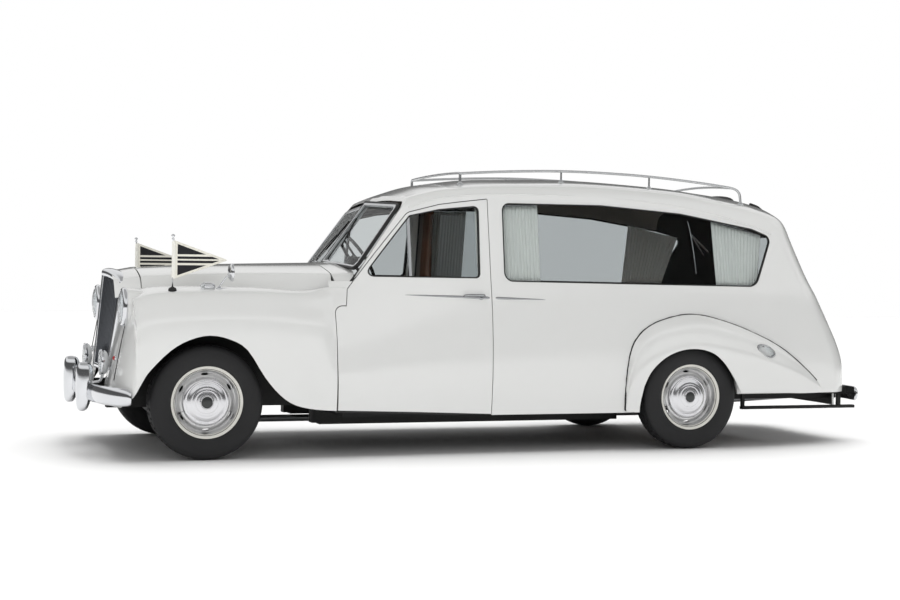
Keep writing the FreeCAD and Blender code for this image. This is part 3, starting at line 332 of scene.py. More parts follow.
# ---- the upper body's shape
# station, half widths of rocker, bulge and belt, top of the side (x, z), shoulder (x, z), crown z
BODY = [
    (795, 862, 888, 715, 575, 1330, 415, 1380, 1392),
    (1000, 860, 884, 755, 600, 1440, 450, 1486, 1512),
    (1300, 855, 876, 790, 635, 1618, 520, 1666, 1694),
    (1550, 850, 868, 800, 675, 1672, 570, 1742, 1783),
    (1920, 846, 862, 810, 700, 1706, 590, 1786, 1841),
    (2703, 846, 860, 820, 715, 1706, 600, 1812, 1867),
    (3403, 840, 852, 812, 700, 1662, 590, 1780, 1836),
    (3953, 815, 828, 785, 655, 1588, 540, 1700, 1789),
    (4253, 795, 805, 755, 620, 1520, 510, 1640, 1740),
    (4903, 760, 765, 700, 520, 1330, 420, 1420, 1500),
]
# height and station of the tail's middle line
TAIL = [(200, 4790), (610, 4783), (815, 4684), (1178, 4508), (1500, 4392), (1620, 4350), (1760, 4285), (1900, 4225)]


def curved(points, steps=3):
    """Outline corners along a smooth line through the points."""
    result = []
    for i in range(len(points) - 1):
        p = [Vector(points[max(0, min(len(points) - 1, i + k))]) for k in (-1, 0, 1, 2)]
        for j in range(steps):
            t = j / steps
            place = 0.5 * (2 * p[1] + (p[2] - p[0]) * t + (2 * p[0] - 5 * p[1] + 4 * p[2] - p[3]) * t ** 2
                           + (3 * p[1] - p[0] - 3 * p[2] + p[3]) * t ** 3)
            result.append((place.x, place.y, 0))
    return result + [(*points[-1], 0)]


def body_section(station):
    """Places (x, z) up one side of the body, from the rocker to the crown."""
    rocker, bulge, belt, x_top, z_top, x_sh, z_sh, crown = table_at(BODY, station)
    side = [(255, rocker), (620, bulge), (1080, belt)]
    points = [(parabola(side, z), z) for z in (255, 400, 560, 720, 880, 1010, 1080)]
    points += [(belt + (x_top - belt) * t, 1080 + (z_top - 1080) * t) for t in (0.22, 0.5, 0.78, 0.94)]
    middle = ((x_top + x_sh) / 2 + (z_sh - z_top) * 0.17, (z_top + z_sh) / 2 + (x_top - x_sh) * 0.17)
    points += [(x_top - 2, z_top + 8), middle, (x_sh, z_sh)]
    points += [(x_sh * t, crown - (crown - z_sh) * t * t) for t in (0.75, 0.5, 0.25, 0.0)]
    return points


def body_rows():
    """Rows of places over the body's upper skin, from the scuttle to the tail."""
    stations = [795, 900, 1010, 1120, 1230, 1340, 1450, 1560, 1700, 1860, 2050, 2300, 2600, 2900, 3200, 3450, 3650,
                3850, 4000]
    rows = [[at(x, y, z) for x, z in body_section(y)] for y in stations]
    for factor, back in ((1.0, -TAIL_CORNER), (0.985, -200), (0.93, -115), (0.84, -58), (0.70, -26), (0.45, -9),
                         (0.22, -2), (0.0, 0)):
        row = []
        for i in range(len(rows[0])):
            station = 4400.0
            for _ in range(12):
                x, z = body_section(station)[i]
                station = table_at(TAIL, z)[0] + back
            row.append(at(x * factor, station, z))
        rows.append(row)
    return rows


def face_outwards(bm):
    """Turns a sheet's faces to look away from the middle of the car."""
    bmesh.ops.recalc_face_normals(bm, faces=bm.faces)
    outwards = 0.0
    for face in bm.faces:
        middle = face.calc_center_median()
        outwards += face.normal.dot(Vector((middle.x, 0, middle.z - 0.3))) * face.calc_area()
    if outwards < 0:
        bmesh.ops.reverse_faces(bm, faces=bm.faces)


def smoothed(obj, levels=2):
    """Smooths a cage by subdivision."""
    add(obj, "SUBSURF", levels=levels, render_levels=levels)
    return baked(obj)


def skin_mesh(rows, mirror=True):
    """A sheet that passes smoothly through rows of places."""
    bm = cage(tightened(rows), mirror)
    face_outwards(bm)
    return smoothed(to_object(bm, recalc=False))


# ---- outlines: (station or x, z, corner radius)
DOOR = [(821, 296, 0), (810, 620, 0), (814, 965, 55), (890, 966, 6), (908, 1070, 30), (1337, 1580, 70),
        (1550, 1638, 0), (1700, 1660, 0), (1885, 1684, 12), (1885, 256, 0), (1378, 277, 0)]
DOOR_HOLE = [(821, 0, 0), *DOOR[1:-2], (1885, 0, 0)]
AHEAD_OF_DOOR = [(780, 0, 0), (780, 1080, 0), (893, 1080, 0), (893, 966, 0), (851, 966, 0), (851, 0, 0)]
QUARTER_BAR = [(1322, 1140, 0), (1334, 1570, 0), (1352, 1570, 0), (1340, 1140, 0)]
DOOR_WINDOW = [(1022, 1155, 36), (1350, 1556, 24), (1550, 1602, 0), (1818, 1632, 34), (1806, 1155, 30)]
SIDE_WINDOW = [(1980, 1137, 60), (1986, 1655, 50), (2713, 1662, 0), (3323, 1624, 0), (3928, 1534, 0),
               (4093, 1478, 45), (3913, 1126, 90)]
TAIL_OPENING = [(-560, 415, 30), (-570, 900, 0), (-540, 1250, 0), (-455, 1585, 70), (455, 1585, 70),
                (540, 1250, 0), (570, 900, 0), (560, 415, 30)]
TAIL_WINDOW = [(-430, 1130, 60), (-370, 1500, 60), (370, 1500, 60), (430, 1130, 60)]
REAR_ARCH = [(2948, 0, 0), (2948, 290, 0), (2956, 350, 0), *curved([(2976, 440), (3016, 530), (3075, 600),
             (3150, 652), (3240, 684), (3330, 694), (3420, 684), (3500, 655), (3565, 606), (3620, 545), (3673, 470),
             (3722, 387)]), (3740, 372, 0), (5000, 372, 0), (5000, 0, 0)]
INNER_ARCH = [(2975, 0, 0), (2975, 350, 0), *curved([(3000, 470), (3060, 600), (3150, 690), (3250, 735), (3350, 750),
              (3450, 735), (3550, 690), (3640, 600), (3720, 470)]), (3745, 372, 0), (5000, 372, 0), (5000, 0, 0)]
SCREEN_FOOT, SCREEN_LEAN, SCREEN_SWEEP = 1241.0, 0.73, 0.10
SCREEN = [(12, 1253, 0), (12, 1636, 0), (596, 1606, 34), (648, 1212, 44)]


def screen_solid():
    """A wedge that fills everything in front of the two flat windscreen panes, above the scuttle."""
    bm = bmesh.new()
    for side in (1, -1):
        corners = []
        for x in (0.0, 1100.0):
            for z in (1120.0, 2100.0):
                corners.append(at(side * x, screen_station(x, z), z))
                corners.append(at(side * x, 300.0, z))
        bmesh.ops.convex_hull(bm, input=[bm.verts.new(p) for p in corners])
    return to_object(bm, smooth=False)


def screen_station(x, z):
    """Station of the windscreen's outer face, whose two flat panes meet in a shallow V."""
    return 970.0 + SCREEN_LEAN * (z - SCREEN_FOOT) + SCREEN_SWEEP * abs(x)


def trimmed(obj, behind, keep_front):
    """Cuts a symmetrical sheet along a plane behind mm behind the windscreen's panes."""
    plane = at(0, screen_station(0, SCREEN_FOOT) + behind, SCREEN_FOOT)
    outwards = Vector((-SCREEN_SWEEP, 1.0, -SCREEN_LEAN)).normalized()
    with edited(obj) as bm:
        bmesh.ops.bisect_plane(bm, geom=everything(bm), plane_co=(0, 0, 0), plane_no=(-1, 0, 0), clear_outer=True)
        bmesh.ops.bisect_plane(bm, geom=everything(bm), plane_co=plane, plane_no=outwards, clear_outer=keep_front,
                               clear_inner=not keep_front)
        bmesh.ops.mirror(bm, geom=everything(bm), merge_dist=0.0001, axis="X")
        face_outwards(bm)
    return obj


def thickened(obj, thickness, inside=None):
    """Gives a sheet a thickness inwards; inside is the finish of its inner face."""
    if inside:
        obj.data.materials.append(finishes()[inside])
    add(obj, "SOLIDIFY", thickness=thickness * MM, offset=-1.0, use_even_offset=False,
        material_offset=1 if inside else 0)
    return baked(obj)


def section_of(skin, low, high, thickness, inside=None):
    """A copy of the skin between two stations, given a thickness inwards."""
    obj = copied(skin)
    with edited(obj) as bm:
        for station, normal in ((low, -1), (high, 1)):
            bmesh.ops.bisect_plane(bm, geom=everything(bm), plane_co=at(0, station, 0), plane_no=(0, normal, 0),
                                   clear_outer=True)
    return thickened(obj, thickness, inside)


def offset_skin(skin, low, high, inset, thickness):
    """A thin sheet that follows the skin at inset mm behind it, such as a window pane."""
    obj = copied(skin)
    for vertex, normal in zip(obj.data.vertices, [v.normal.copy() for v in obj.data.vertices]):
        vertex.co -= normal * inset * MM
    piece = section_of(obj, low, high, thickness)
    bpy.data.objects.remove(obj)
    return piece


def named(obj, name, finish, body="chassis", slot=None):
    """Gives a finished piece its name, finish and body; a piece in the glass slot also casts no shadow."""
    obj.name = obj.data.name = name
    obj.data.materials[0] = finishes()[finish]
    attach(obj, body)
    if slot == "glass":
        obj.visible_shadow = False
    return obj


def joined(objects):
    """One object from several."""
    bpy.ops.object.select_all(action="DESELECT")
    for obj in objects:
        obj.select_set(True)
    bpy.context.view_layer.objects.active = objects[0]
    bpy.ops.object.join()
    return objects[0]


def pair(left, name, finish, body="chassis", slot=None):
    """Names a left piece and makes the right one; both are returned."""
    right = copied(left)
    with edited(right) as bm:
        bmesh.ops.scale(bm, vec=(-1, 1, 1), verts=bm.verts)
        bmesh.ops.reverse_faces(bm, faces=bm.faces)
    named(left, name + "_left", finish, body, slot)
    named(right, name + "_right", finish, body.replace("left", "right"), slot)
    return left, right


def turned(points, centre, axis, out, steps):
    """A bmesh turned about axis through centre from (distance along the axis, radius along out) points."""
    bm = bmesh.new()
    verts = [bm.verts.new(centre + axis * a * MM + out * r * MM) for a, r in points]
    edges = [bm.edges.new(ends) for ends in zip(verts, verts[1:])]
    bmesh.ops.spin(bm, geom=verts + edges, cent=centre, axis=axis, angle=math.tau, steps=steps, use_merge=True)
    bmesh.ops.remove_doubles(bm, verts=bm.verts, dist=0.00001)
    return bm


def lathe(points, centre, axis, steps=64):
    """A piece turned about axis through centre from (distance along the axis, radius) points in millimetres."""
    direction = Vector(axis).normalized()
    return to_object(turned(points, centre, direction, direction.orthogonal().normalized(), steps))


def tube(points, radius, round_corners=True, resolution=5):
    """A round rod along places in the scene."""
    curve = bpy.data.curves.new("rod", "CURVE")
    curve.dimensions = "3D"
    curve.bevel_depth = radius * MM
    curve.bevel_resolution = resolution
    curve.use_fill_caps = True
    spline = curve.splines.new("NURBS" if round_corners else "POLY")
    spline.points.add(len(points) - 1)
    for knot, place in zip(spline.points, points):
        knot.co = (*place, 1.0)
    if round_corners:
        spline.order_u = 3
        spline.use_endpoint_u = True
        spline.resolution_u = 6
    source = linked(bpy.data.objects.new("rod", curve))
    mesh = bpy.data.meshes.new_from_object(source.evaluated_get(bpy.context.evaluated_depsgraph_get()))
    bpy.data.objects.remove(source)
    mesh.materials.clear()
    mesh.materials.append(None)
    for polygon in mesh.polygons:
        polygon.use_smooth = True
    return linked(bpy.data.objects.new("rod", mesh))


def edged(bm, bevel, segments):
    """The bmesh as an object, with its edges rounded."""
    if bevel:
        bmesh.ops.bevel(bm, geom=bm.edges[:], offset=bevel * MM, segments=segments, profile=0.5, affect="EDGES",
                        material=-1)
    return sharp(to_object(bm))


def block(x0, x1, y0, y1, z0, z1, bevel=4.0, segments=3):
    """A box with rounded edges, in car measures."""
    bm = bmesh.new()
    bmesh.ops.create_cube(bm, size=1.0)
    low, high = at(x0, y0, z0), at(x1, y1, z1)
    bmesh.ops.scale(bm, vec=high - low, verts=bm.verts)
    bmesh.ops.translate(bm, vec=(low + high) / 2.0, verts=bm.verts)
    return edged(bm, bevel, segments)


def hull(places, bevel=0.0, segments=3):
    """The solid that spans the given places, with rounded edges."""
    bm = bmesh.new()
    bmesh.ops.convex_hull(bm, input=[bm.verts.new(place) for place in places])
    bmesh.ops.dissolve_limit(bm, angle_limit=0.001, verts=bm.verts, edges=bm.edges)
    return edged(bm, bevel, segments)


def plate(points, place, thickness, hole=0.0, bevel=1.0):
    """A flat plate with rounded corners; place maps (a, b) to the scene. hole leaves only a ring that wide."""
    bm = outline_face(points, place)
    if hole:
        inner = bm.faces[:]
        bmesh.ops.inset_region(bm, faces=inner, thickness=hole * MM, use_even_offset=True, use_boundary=True)
        bmesh.ops.delete(bm, geom=inner, context="FACES_ONLY")
    bm.normal_update()
    extrude(bm, bm.faces[:][0].normal * -thickness * MM)
    obj = to_object(bm, smooth=False)
    if bevel:
        add(obj, "BEVEL", width=bevel * MM, segments=2, limit_method="ANGLE", angle_limit=math.radians(40))
        baked(obj)
    return sharp(obj)


def panel(rows, inside, mirror=False, thickness=3.0, cut=()):
    """A sheet-metal panel smoothed from rows of places, dark inside as painted shade, with its edges rounded."""
    return carved(thickened(skin_mesh(rows, mirror), thickness, inside), cut=cut, bevel=PANEL_BEVEL)


# ---- materials
def material(name, color, rough=0.5, metal=0.0, coat=0.0, bump=0.0, scale=200.0, transmission=0.0, vary=0.0,
             stretch=(1, 1, 1), ior=1.45, sheen=0.0):
    """A procedural material: a base colour varied by noise, with a fine bump."""
    made = bpy.data.materials.new(name)
    made.use_nodes = True
    nodes, links = made.node_tree.nodes, made.node_tree.links
    shader = nodes["Principled BSDF"]
    for key, value in (("Base Color", (*color, 1.0)), ("Roughness", rough), ("Metallic", metal),
                       ("Coat Weight", coat), ("Coat Roughness", 0.03), ("IOR", ior),
                       ("Transmission Weight", transmission), ("Sheen Weight", sheen)):
        shader.inputs[key].default_value = value
    place = nodes.new("ShaderNodeTexCoord")
    mapping = nodes.new("ShaderNodeMapping")
    mapping.inputs["Scale"].default_value = stretch
    noise = nodes.new("ShaderNodeTexNoise")
    noise.inputs["Scale"].default_value = scale
    noise.inputs["Detail"].default_value = 4.0
    links.new(place.outputs["Object"], mapping.inputs["Vector"])
    links.new(mapping.outputs["Vector"], noise.inputs["Vector"])
    if vary:
        ramp = nodes.new("ShaderNodeValToRGB")
        for stop, position, share in zip(ramp.color_ramp.elements, (0.35, 0.65), (1.0 - vary, 1.0 + vary)):
            stop.position = position
            stop.color = (*[min(1.0, c * share) for c in color], 1.0)
        links.new(noise.outputs["Fac"], ramp.inputs["Fac"])
        links.new(ramp.outputs["Color"], shader.inputs["Base Color"])
    if bump:
        height = nodes.new("ShaderNodeBump")
        height.inputs["Strength"].default_value = bump
        height.inputs["Distance"].default_value = 0.001
        links.new(noise.outputs["Fac"], height.inputs["Height"])
        links.new(height.outputs["Normal"], shader.inputs["Normal"])
    return made


def maths(nodes, links, operation, first, second=0.0):
    """A math node's output; first and second are sockets or numbers."""
    node = nodes.new("ShaderNodeMath")
    node.operation = operation
    for socket, value in zip(node.inputs, (first, second)):
        if isinstance(value, bpy.types.NodeSocket):
            links.new(value, socket)
        else:
            socket.default_value = value
    return node.outputs[0]


def flag_material():
    """Cream cloth with two black triangles and two black stripes between them."""
    made = material("flag_cloth", (0.80, 0.78, 0.70), rough=0.8, bump=0.3, scale=900, vary=0.03)
    nodes, links = made.node_tree.nodes, made.node_tree.links
    shader = nodes["Principled BSDF"]
    place = nodes.new("ShaderNodeUVMap")
    place.uv_map = "flag"
    split = nodes.new("ShaderNodeSeparateXYZ")
    links.new(place.outputs["UV"], split.inputs[0])
    along, across = split.outputs["X"], split.outputs["Y"]
    half_cut = maths(nodes, links, "MULTIPLY_ADD", along, -0.97)
    half_cut.node.inputs[2].default_value = 1.0
    off_middle = maths(nodes, links, "ABSOLUTE", maths(nodes, links, "SUBTRACT", across, 0.5))
    height = maths(nodes, links, "MULTIPLY", off_middle, half_cut)
    border = maths(nodes, links, "LESS_THAN", height, maths(nodes, links, "MULTIPLY_ADD", half_cut, 0.5))
    border.node.inputs[1].links[0].from_node.inputs[2].default_value = -0.062
    sleeve = maths(nodes, links, "GREATER_THAN", along, 0.085)
    inside = maths(nodes, links, "MULTIPLY", border, sleeve)
    triangles = maths(nodes, links, "GREATER_THAN", height, 0.137)
    stripe = maths(nodes, links, "MULTIPLY", maths(nodes, links, "GREATER_THAN", height, 0.020),
                   maths(nodes, links, "LESS_THAN", height, 0.083))
    dark = maths(nodes, links, "MULTIPLY", inside, maths(nodes, links, "MAXIMUM", triangles, stripe))
    blend = nodes.new("ShaderNodeMix")
    blend.data_type = "RGBA"
    links.new(dark, blend.inputs["Factor"])
    links.new(shader.inputs["Base Color"].links[0].from_socket, blend.inputs["A"])
    blend.inputs["B"].default_value = (0.014, 0.014, 0.017, 1.0)
    links.new(blend.outputs["Result"], shader.inputs["Base Color"])
    return made


def build_materials():
    """Every finish of the car and the studio, by the short name that the pieces use."""
    c = bpy.context.scene.hearse_colours
    return {
        "paint": material("white_paint", c.paint, rough=0.16, coat=1.0, bump=0.02, scale=900, vary=0.006),
        "chrome": material("chrome", c.chrome, rough=0.07, metal=1.0, bump=0.015, scale=300, vary=0.01),
        "steel": material("dull_steel", (0.32, 0.32, 0.33), rough=0.35, metal=1.0, bump=0.05, vary=0.1),
        "rubber": material("black_rubber", (0.012, 0.012, 0.012), rough=0.5, bump=0.1, scale=400, vary=0.1),
        "tyre": material("tyre_rubber", c.tyre, rough=0.62, bump=0.25, scale=260, vary=0.15),
        # black: the real black of the chassis and underside, and painted shade where it lines the panels' inner faces
        "black": material("underside_black_and_painted_shade", (0.012, 0.012, 0.012), rough=0.6, bump=0.3, scale=120, vary=0.2),
        "glass": material("window_glass", c.glass, rough=0.0, transmission=1.0, vary=0.004, ior=1.1),
        "screen_glass": material("windscreen_glass", (0.86, 0.88, 0.88), rough=0.0, transmission=1.0, vary=0.004,
                                 ior=1.1),
        "trim": material("side_trim", (0.40, 0.41, 0.42), rough=0.2, metal=1.0, bump=0.02, vary=0.03),
        "lens": material("lamp_lens", (0.93, 0.95, 0.96), rough=0.03, transmission=1.0, bump=0.6, scale=60,
                         stretch=(4, 1, 0.3), ior=1.3, vary=0.004),
        "reflector": material("lamp_reflector", (0.85, 0.86, 0.87), rough=0.12, metal=1.0, bump=0.02, vary=0.02),
        "red": material("red_lens", (0.32, 0.004, 0.004), rough=0.12, coat=0.6, bump=0.5, scale=90,
                        stretch=(1, 3, 0.4), vary=0.1),
        "cream": material("wheel_cream", c.cream, rough=0.22, coat=0.6, bump=0.02, vary=0.01),
        "silver": material("wheel_silver", (0.62, 0.62, 0.62), rough=0.28, metal=0.9, bump=0.03, vary=0.02),
        "polished": material("hubcap_polished", (0.72, 0.72, 0.74), rough=0.2, metal=1.0, bump=0.02, scale=500,
                             vary=0.02),
        "boss": material("hub_boss", (0.02, 0.022, 0.022), rough=0.3, coat=0.5, bump=0.05, vary=0.1),
        "rail": material("rail_steel", (0.60, 0.61, 0.62), rough=0.22, metal=1.0, bump=0.03, vary=0.03),
        "screen_frame": material("screen_surround", (0.62, 0.63, 0.64), rough=0.3, metal=0.9, bump=0.03, vary=0.04),
        "flag": flag_material(),
        "slat": material("grille_slats", (0.10, 0.105, 0.115), rough=0.22, metal=1.0, bump=0.02, vary=0.05),
        "frosted": material("bulb_glass", (0.9, 0.9, 0.88), rough=0.3, bump=0.05, vary=0.02),
        "wood": material("varnished_wood", c.wood, rough=0.22, coat=0.8, bump=0.08, scale=14,
                         stretch=(1, 9, 9), vary=0.5),
        "deck": material("deck_boards", (0.19, 0.085, 0.04), rough=0.3, coat=0.5, bump=0.1, scale=12,
                         stretch=(9, 1, 9), vary=0.4),
        "leather": material("seat_leather", c.leather, rough=0.42, bump=0.35, scale=420, vary=0.1),
        "curtain": material("curtain_cloth", c.curtain, rough=0.85, bump=0.3, scale=900, vary=0.05,
                            sheen=0.3),
        "cloth_white": material("flag_white", (0.85, 0.84, 0.78), rough=0.8, bump=0.3, scale=900, vary=0.03),
        "lining": material("roof_lining", c.lining, rough=0.85, bump=0.3, scale=500, vary=0.08),
        "carpet": material("underside_and_carpet", (0.02, 0.02, 0.021), rough=0.9, bump=0.5, scale=300, vary=0.2),
        "bakelite": material("steering_wheel_black", (0.02, 0.019, 0.018), rough=0.25, coat=0.5, bump=0.02, vary=0.1),
        "floor": material("studio_floor", (0.62, 0.62, 0.62), rough=0.7, bump=0.02, scale=40, vary=0.003),
    }


FINISHES = {}


def finishes():
    """The materials, made when the first piece asks for them."""
    if not FINISHES:
        FINISHES.update(build_materials())
    return FINISHES


# ---- front panels
# station, shoulder (x, z), crown z, valley (x, z)
BONNET = [(-345, 360, 1122, 1190, 420, 1050), (0, 420, 1143, 1212, 490, 1055), (400, 500, 1158, 1226, 570, 1048),
          (838, 600, 1160, 1240, 655, 1035)]
NOSE_TOP = [(-500, 255, 1092, 1160, 318, 1000), (-353, 358, 1121, 1189, 418, 1049)]
SCUTTLE = [(846, 600, 1160, 1240, 700, 1096), (1080, 640, 1180, 1262, 738, 1112)]
# station, valley, crown, shoulder, widest and lip as (x, z)
FRONT_WING = [
    (-430, (392, 1004), (600, 1012), (815, 905), (880, 745), (884, 330)),
    (-345, (432, 1036), (650, 1042), (832, 935), (890, 790), (890, 330)),
    (-180, (470, 1044), (670, 1058), (843, 950), (899, 805), (899, 300)),
    (0, (500, 1046), (690, 1062), (850, 958), (904, 815), (905, 285)),
    (200, (540, 1044), (708, 1064), (852, 960), (906, 815), (906, 285)),
    (400, (580, 1040), (722, 1062), (850, 955), (905, 810), (905, 285)),
    (600, (622, 1032), (735, 1048), (832, 945), (898, 790), (895, 275)),
    (720, (656, 1062), (730, 1056), (814, 950), (889, 765), (876, 262)),
]
FRONT_ARCH = [(-640, 0, 0), (-640, 318, 0), *curved([(-533, 326), (-461, 401), (-410, 490), (-365, 560), (-245, 681),
              (-130, 748), (-6, 776), (120, 752), (230, 687), (343, 517), (441, 406), (541, 341), (680, 310),
              (839, 298)]), (930, 296, 0), (930, 0, 0)]
REAR_WING = [
    (2860, (858, 420), (864, 400), (868, 360), (868, 310), (864, 262)),
    (2893, (856, 700), (876, 650), (894, 560), (894, 420), (882, 262)),
    (3022, (838, 840), (872, 812), (908, 715), (917, 520), (908, 262)),
    (3160, (836, 893), (876, 865), (920, 765), (932, 600), (924, 300)),
    (3293, (834, 924), (880, 895), (926, 790), (938, 640), (930, 330)),
    (3430, (832, 924), (880, 895), (926, 790), (939, 640), (930, 350)),
    (3568, (830, 898), (876, 872), (924, 768), (937, 620), (928, 380)),
    (3730, (826, 852), (868, 830), (914, 735), (928, 590), (920, 385)),
    (3887, (818, 795), (856, 775), (900, 690), (912, 560), (904, 385)),
    (4080, (806, 712), (838, 695), (874, 625), (884, 510), (878, 380)),
    (4260, (792, 598), (814, 585), (842, 535), (848, 460), (842, 372)),
    (4400, (778, 492), (792, 482), (808, 455), (812, 420), (808, 372)),
    (4470, (766, 420), (776, 416), (786, 406), (788, 390), (786, 372)),
]


def top_section(row):
    """Places (x, z) from the valley up over the crown of the bonnet."""
    x_shoulder, z_shoulder, crown, x_valley, z_valley = row
    points = [(x_valley, z_valley - 14), (x_valley, z_valley)]
    points += [(x_valley + (x_shoulder - x_valley) * t, z_valley + (z_shoulder - z_valley) * (t ** 0.75))
               for t in (0.35, 0.72, 0.93)]
    points += [(x_shoulder * t, crown - (crown - z_shoulder - 4) * t * t) for t in (0.97, 0.84, 0.6, 0.35, 0.0)]
    return points


def top_rows(table, stations):
    """Rows of places over the bonnet, nose or scuttle."""
    return [[at(x, y, z) for x, z in top_section(table_at(table, y))] for y in stations]


def wing_section(row):
    """Places (x, z) over a wing, from its valley to its lip."""
    valley, crown, shoulder, widest, lip = [Vector(point) for point in row]
    low = widest.lerp(lip, 0.5)
    inner = valley.lerp(crown, 0.5) + Vector((0, 0.12 * (crown - valley).length))
    outer = crown.lerp(shoulder, 0.5) + Vector((shoulder.y - crown.y, crown.x - shoulder.x)) * -0.16
    side = shoulder.lerp(widest, 0.5) + Vector((shoulder.y - widest.y, widest.x - shoulder.x)) * 0.12
    return [valley, inner, crown, outer, shoulder, side, widest, low, lip]


def front_face(x, z):
    """Station of the car's front face beside the grille."""
    return -542.0 + max(0.0, x - 620.0) * 0.22 + (z - 486.0) * 0.178


def front_wing_rows():
    """Rows over the front face, from the grille's side outwards, and then back along the wing."""
    rows = []
    for factor, back, edge in ((0.01, 0, (263, 474)), (0.12, 0, (266, 530)), (0.45, 0, (276, 710)),
                               (0.78, 2, (290, 900)), (0.93, 10, (304, 1000)), (1.0, 34, None)):
        row = []
        for i, (x, z) in enumerate(wing_section(FRONT_WING[0][1:])):
            x, z = 262 + (x - 262) * factor, 470 + (z - 470) * (factor if z > 470 else 1.0)
            if edge and i == 0:
                x, z = edge
            row.append(at(x, min(front_face(x, z) + back, -447.0), z))
        rows.append(row)
    for station, *row in FRONT_WING:
        rows.append([at(x, station, z) for x, z in wing_section(row)])
    for station, proud in ((800, 4.0), (850, 3.0), (915, 2.0)):
        rocker, bulge, belt = table_at(BODY, station)[:3]
        side = [(255, rocker), (620, bulge), (1080, belt)]
        top = 690 + (station - 800) * 0.20
        rows.append([at(top, station, 1084)] + [at(parabola(side, z) + proud, station, z)
                                                for z in (1080, 1062, 1026, 972, 880, 745, 500, 256)])
    return rows


def rear_wing_rows():
    """Rows of places over a rear wing."""
    return [[at(x, station, z) for x, z in wing_section(row)] for station, *row in REAR_WING]


def build_body():
    """The body's shell, the doors and the tailgate, with their seals and panes."""
    gap, wall = sizes().panel_gap / MM, sizes().panel_thickness / MM
    skin = skin_mesh(body_rows())
    # the shell's inner face is black: painted shade, seen through the gaps and openings
    shell = section_of(skin, 790, 5000, wall, "black")
    tool = screen_solid()
    add(shell, "BOOLEAN", object=tool, operation="DIFFERENCE", solver="EXACT")
    baked(shell)
    bpy.data.objects.remove(tool)
    carved(shell, cut=through_both(AHEAD_OF_DOOR), bevel=0)
    carved(shell, cut=through_both(DOOR_HOLE) + through_both(SIDE_WINDOW) + [through_tail(TAIL_OPENING)])
    carved(shell, cut=[(INNER_ARCH, "X", 500, 1100), (INNER_ARCH, "X", -1100, -500)], bevel=0)
    named(shell, "body_shell", "paint", slot="body_paint")
    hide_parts("body_side_left", "body_side_right", "roof")

    # the door's inner face is black: painted shade, seen through its gaps
    door = carved(section_of(skin, 790, 1950, wall, "black"), keep=[through_side(grown(DOOR, -gap))],
                  cut=[through_side(DOOR_WINDOW)])
    left, right = pair(door, "door_panel", "paint", "door_left", "body_paint")
    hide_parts("door_left")
    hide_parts("door_right")

    gate = carved(section_of(skin, 4250, 5000, wall, "lining"), keep=[through_tail(grown(TAIL_OPENING, -gap))],
                  cut=[through_tail(TAIL_WINDOW)])
    named(gate, "tailgate_panel", "paint", "tailgate", "body_paint")
    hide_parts("tailgate")
    build_seals(skin)
    build_panes(skin)
    bpy.data.objects.remove(skin)


def build_seals(skin):
    """Soft seals that close the gaps round the doors and the tailgate."""
    for side, hand in HANDS:
        seal = carved(offset_skin(skin, 790, 1950, 17, 5), keep=[through_side(grown(DOOR, 10), side)],
                      cut=[through_side(grown(DOOR, -16), side, 10)], bevel=0)
        named(seal, "door_seal_" + hand, "rubber")
    seal = carved(offset_skin(skin, 4250, 5000, 17, 5), keep=[through_tail(grown(TAIL_OPENING, 10))],
                  cut=[through_tail(grown(TAIL_OPENING, -16), 10)], bevel=0)
    named(seal, "tailgate_seal", "rubber")


def build_panes(skin):
    """The side and rear panes, a little behind the skin, each with its rubber seal."""
    seal_in = sizes().seal_width / MM - 3.0
    for outline, low, high, name, node, body in (
            (DOOR_WINDOW, 950, 1950, "door_pane", "door_glass", "door_left"),
            (SIDE_WINDOW, 1900, 4200, "side_pane", None, "chassis")):
        pane = carved(offset_skin(skin, low, high, 9, 5), keep=[through_side(grown(outline, 2.0))], bevel=0)
        left, right = pair(pane, name, "glass", body, "glass")
        if node:
            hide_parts(node + "_left")
            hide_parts(node + "_right")
        seal = carved(offset_skin(skin, low, high, -1.5, 19), keep=[through_side(grown(outline, 3.0))],
                      cut=[through_side(grown(outline, -seal_in), 1, 10)], bevel=0.001)
        pair(seal, name + "_seal", "rubber", body)
        if node:
            bar = carved(offset_skin(skin, low, high, 1, 22), keep=[through_side(QUARTER_BAR)], bevel=0.002)
            pair(bar, "door_quarter_bar", "trim", body)
    rear = carved(offset_skin(skin, 4250, 5000, 9, 5), keep=[through_tail(grown(TAIL_WINDOW, 2.0))], bevel=0)
    named(rear, "tailgate_pane", "glass", "tailgate", "glass")
    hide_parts("tailgate_glass")
    seal = carved(offset_skin(skin, 4250, 5000, -1.5, 19), keep=[through_tail(grown(TAIL_WINDOW, 6.0))],
                  cut=[through_tail(grown(TAIL_WINDOW, -8.0), 10)], bevel=0.001)
    named(seal, "tailgate_pane_seal", "rubber", "tailgate")


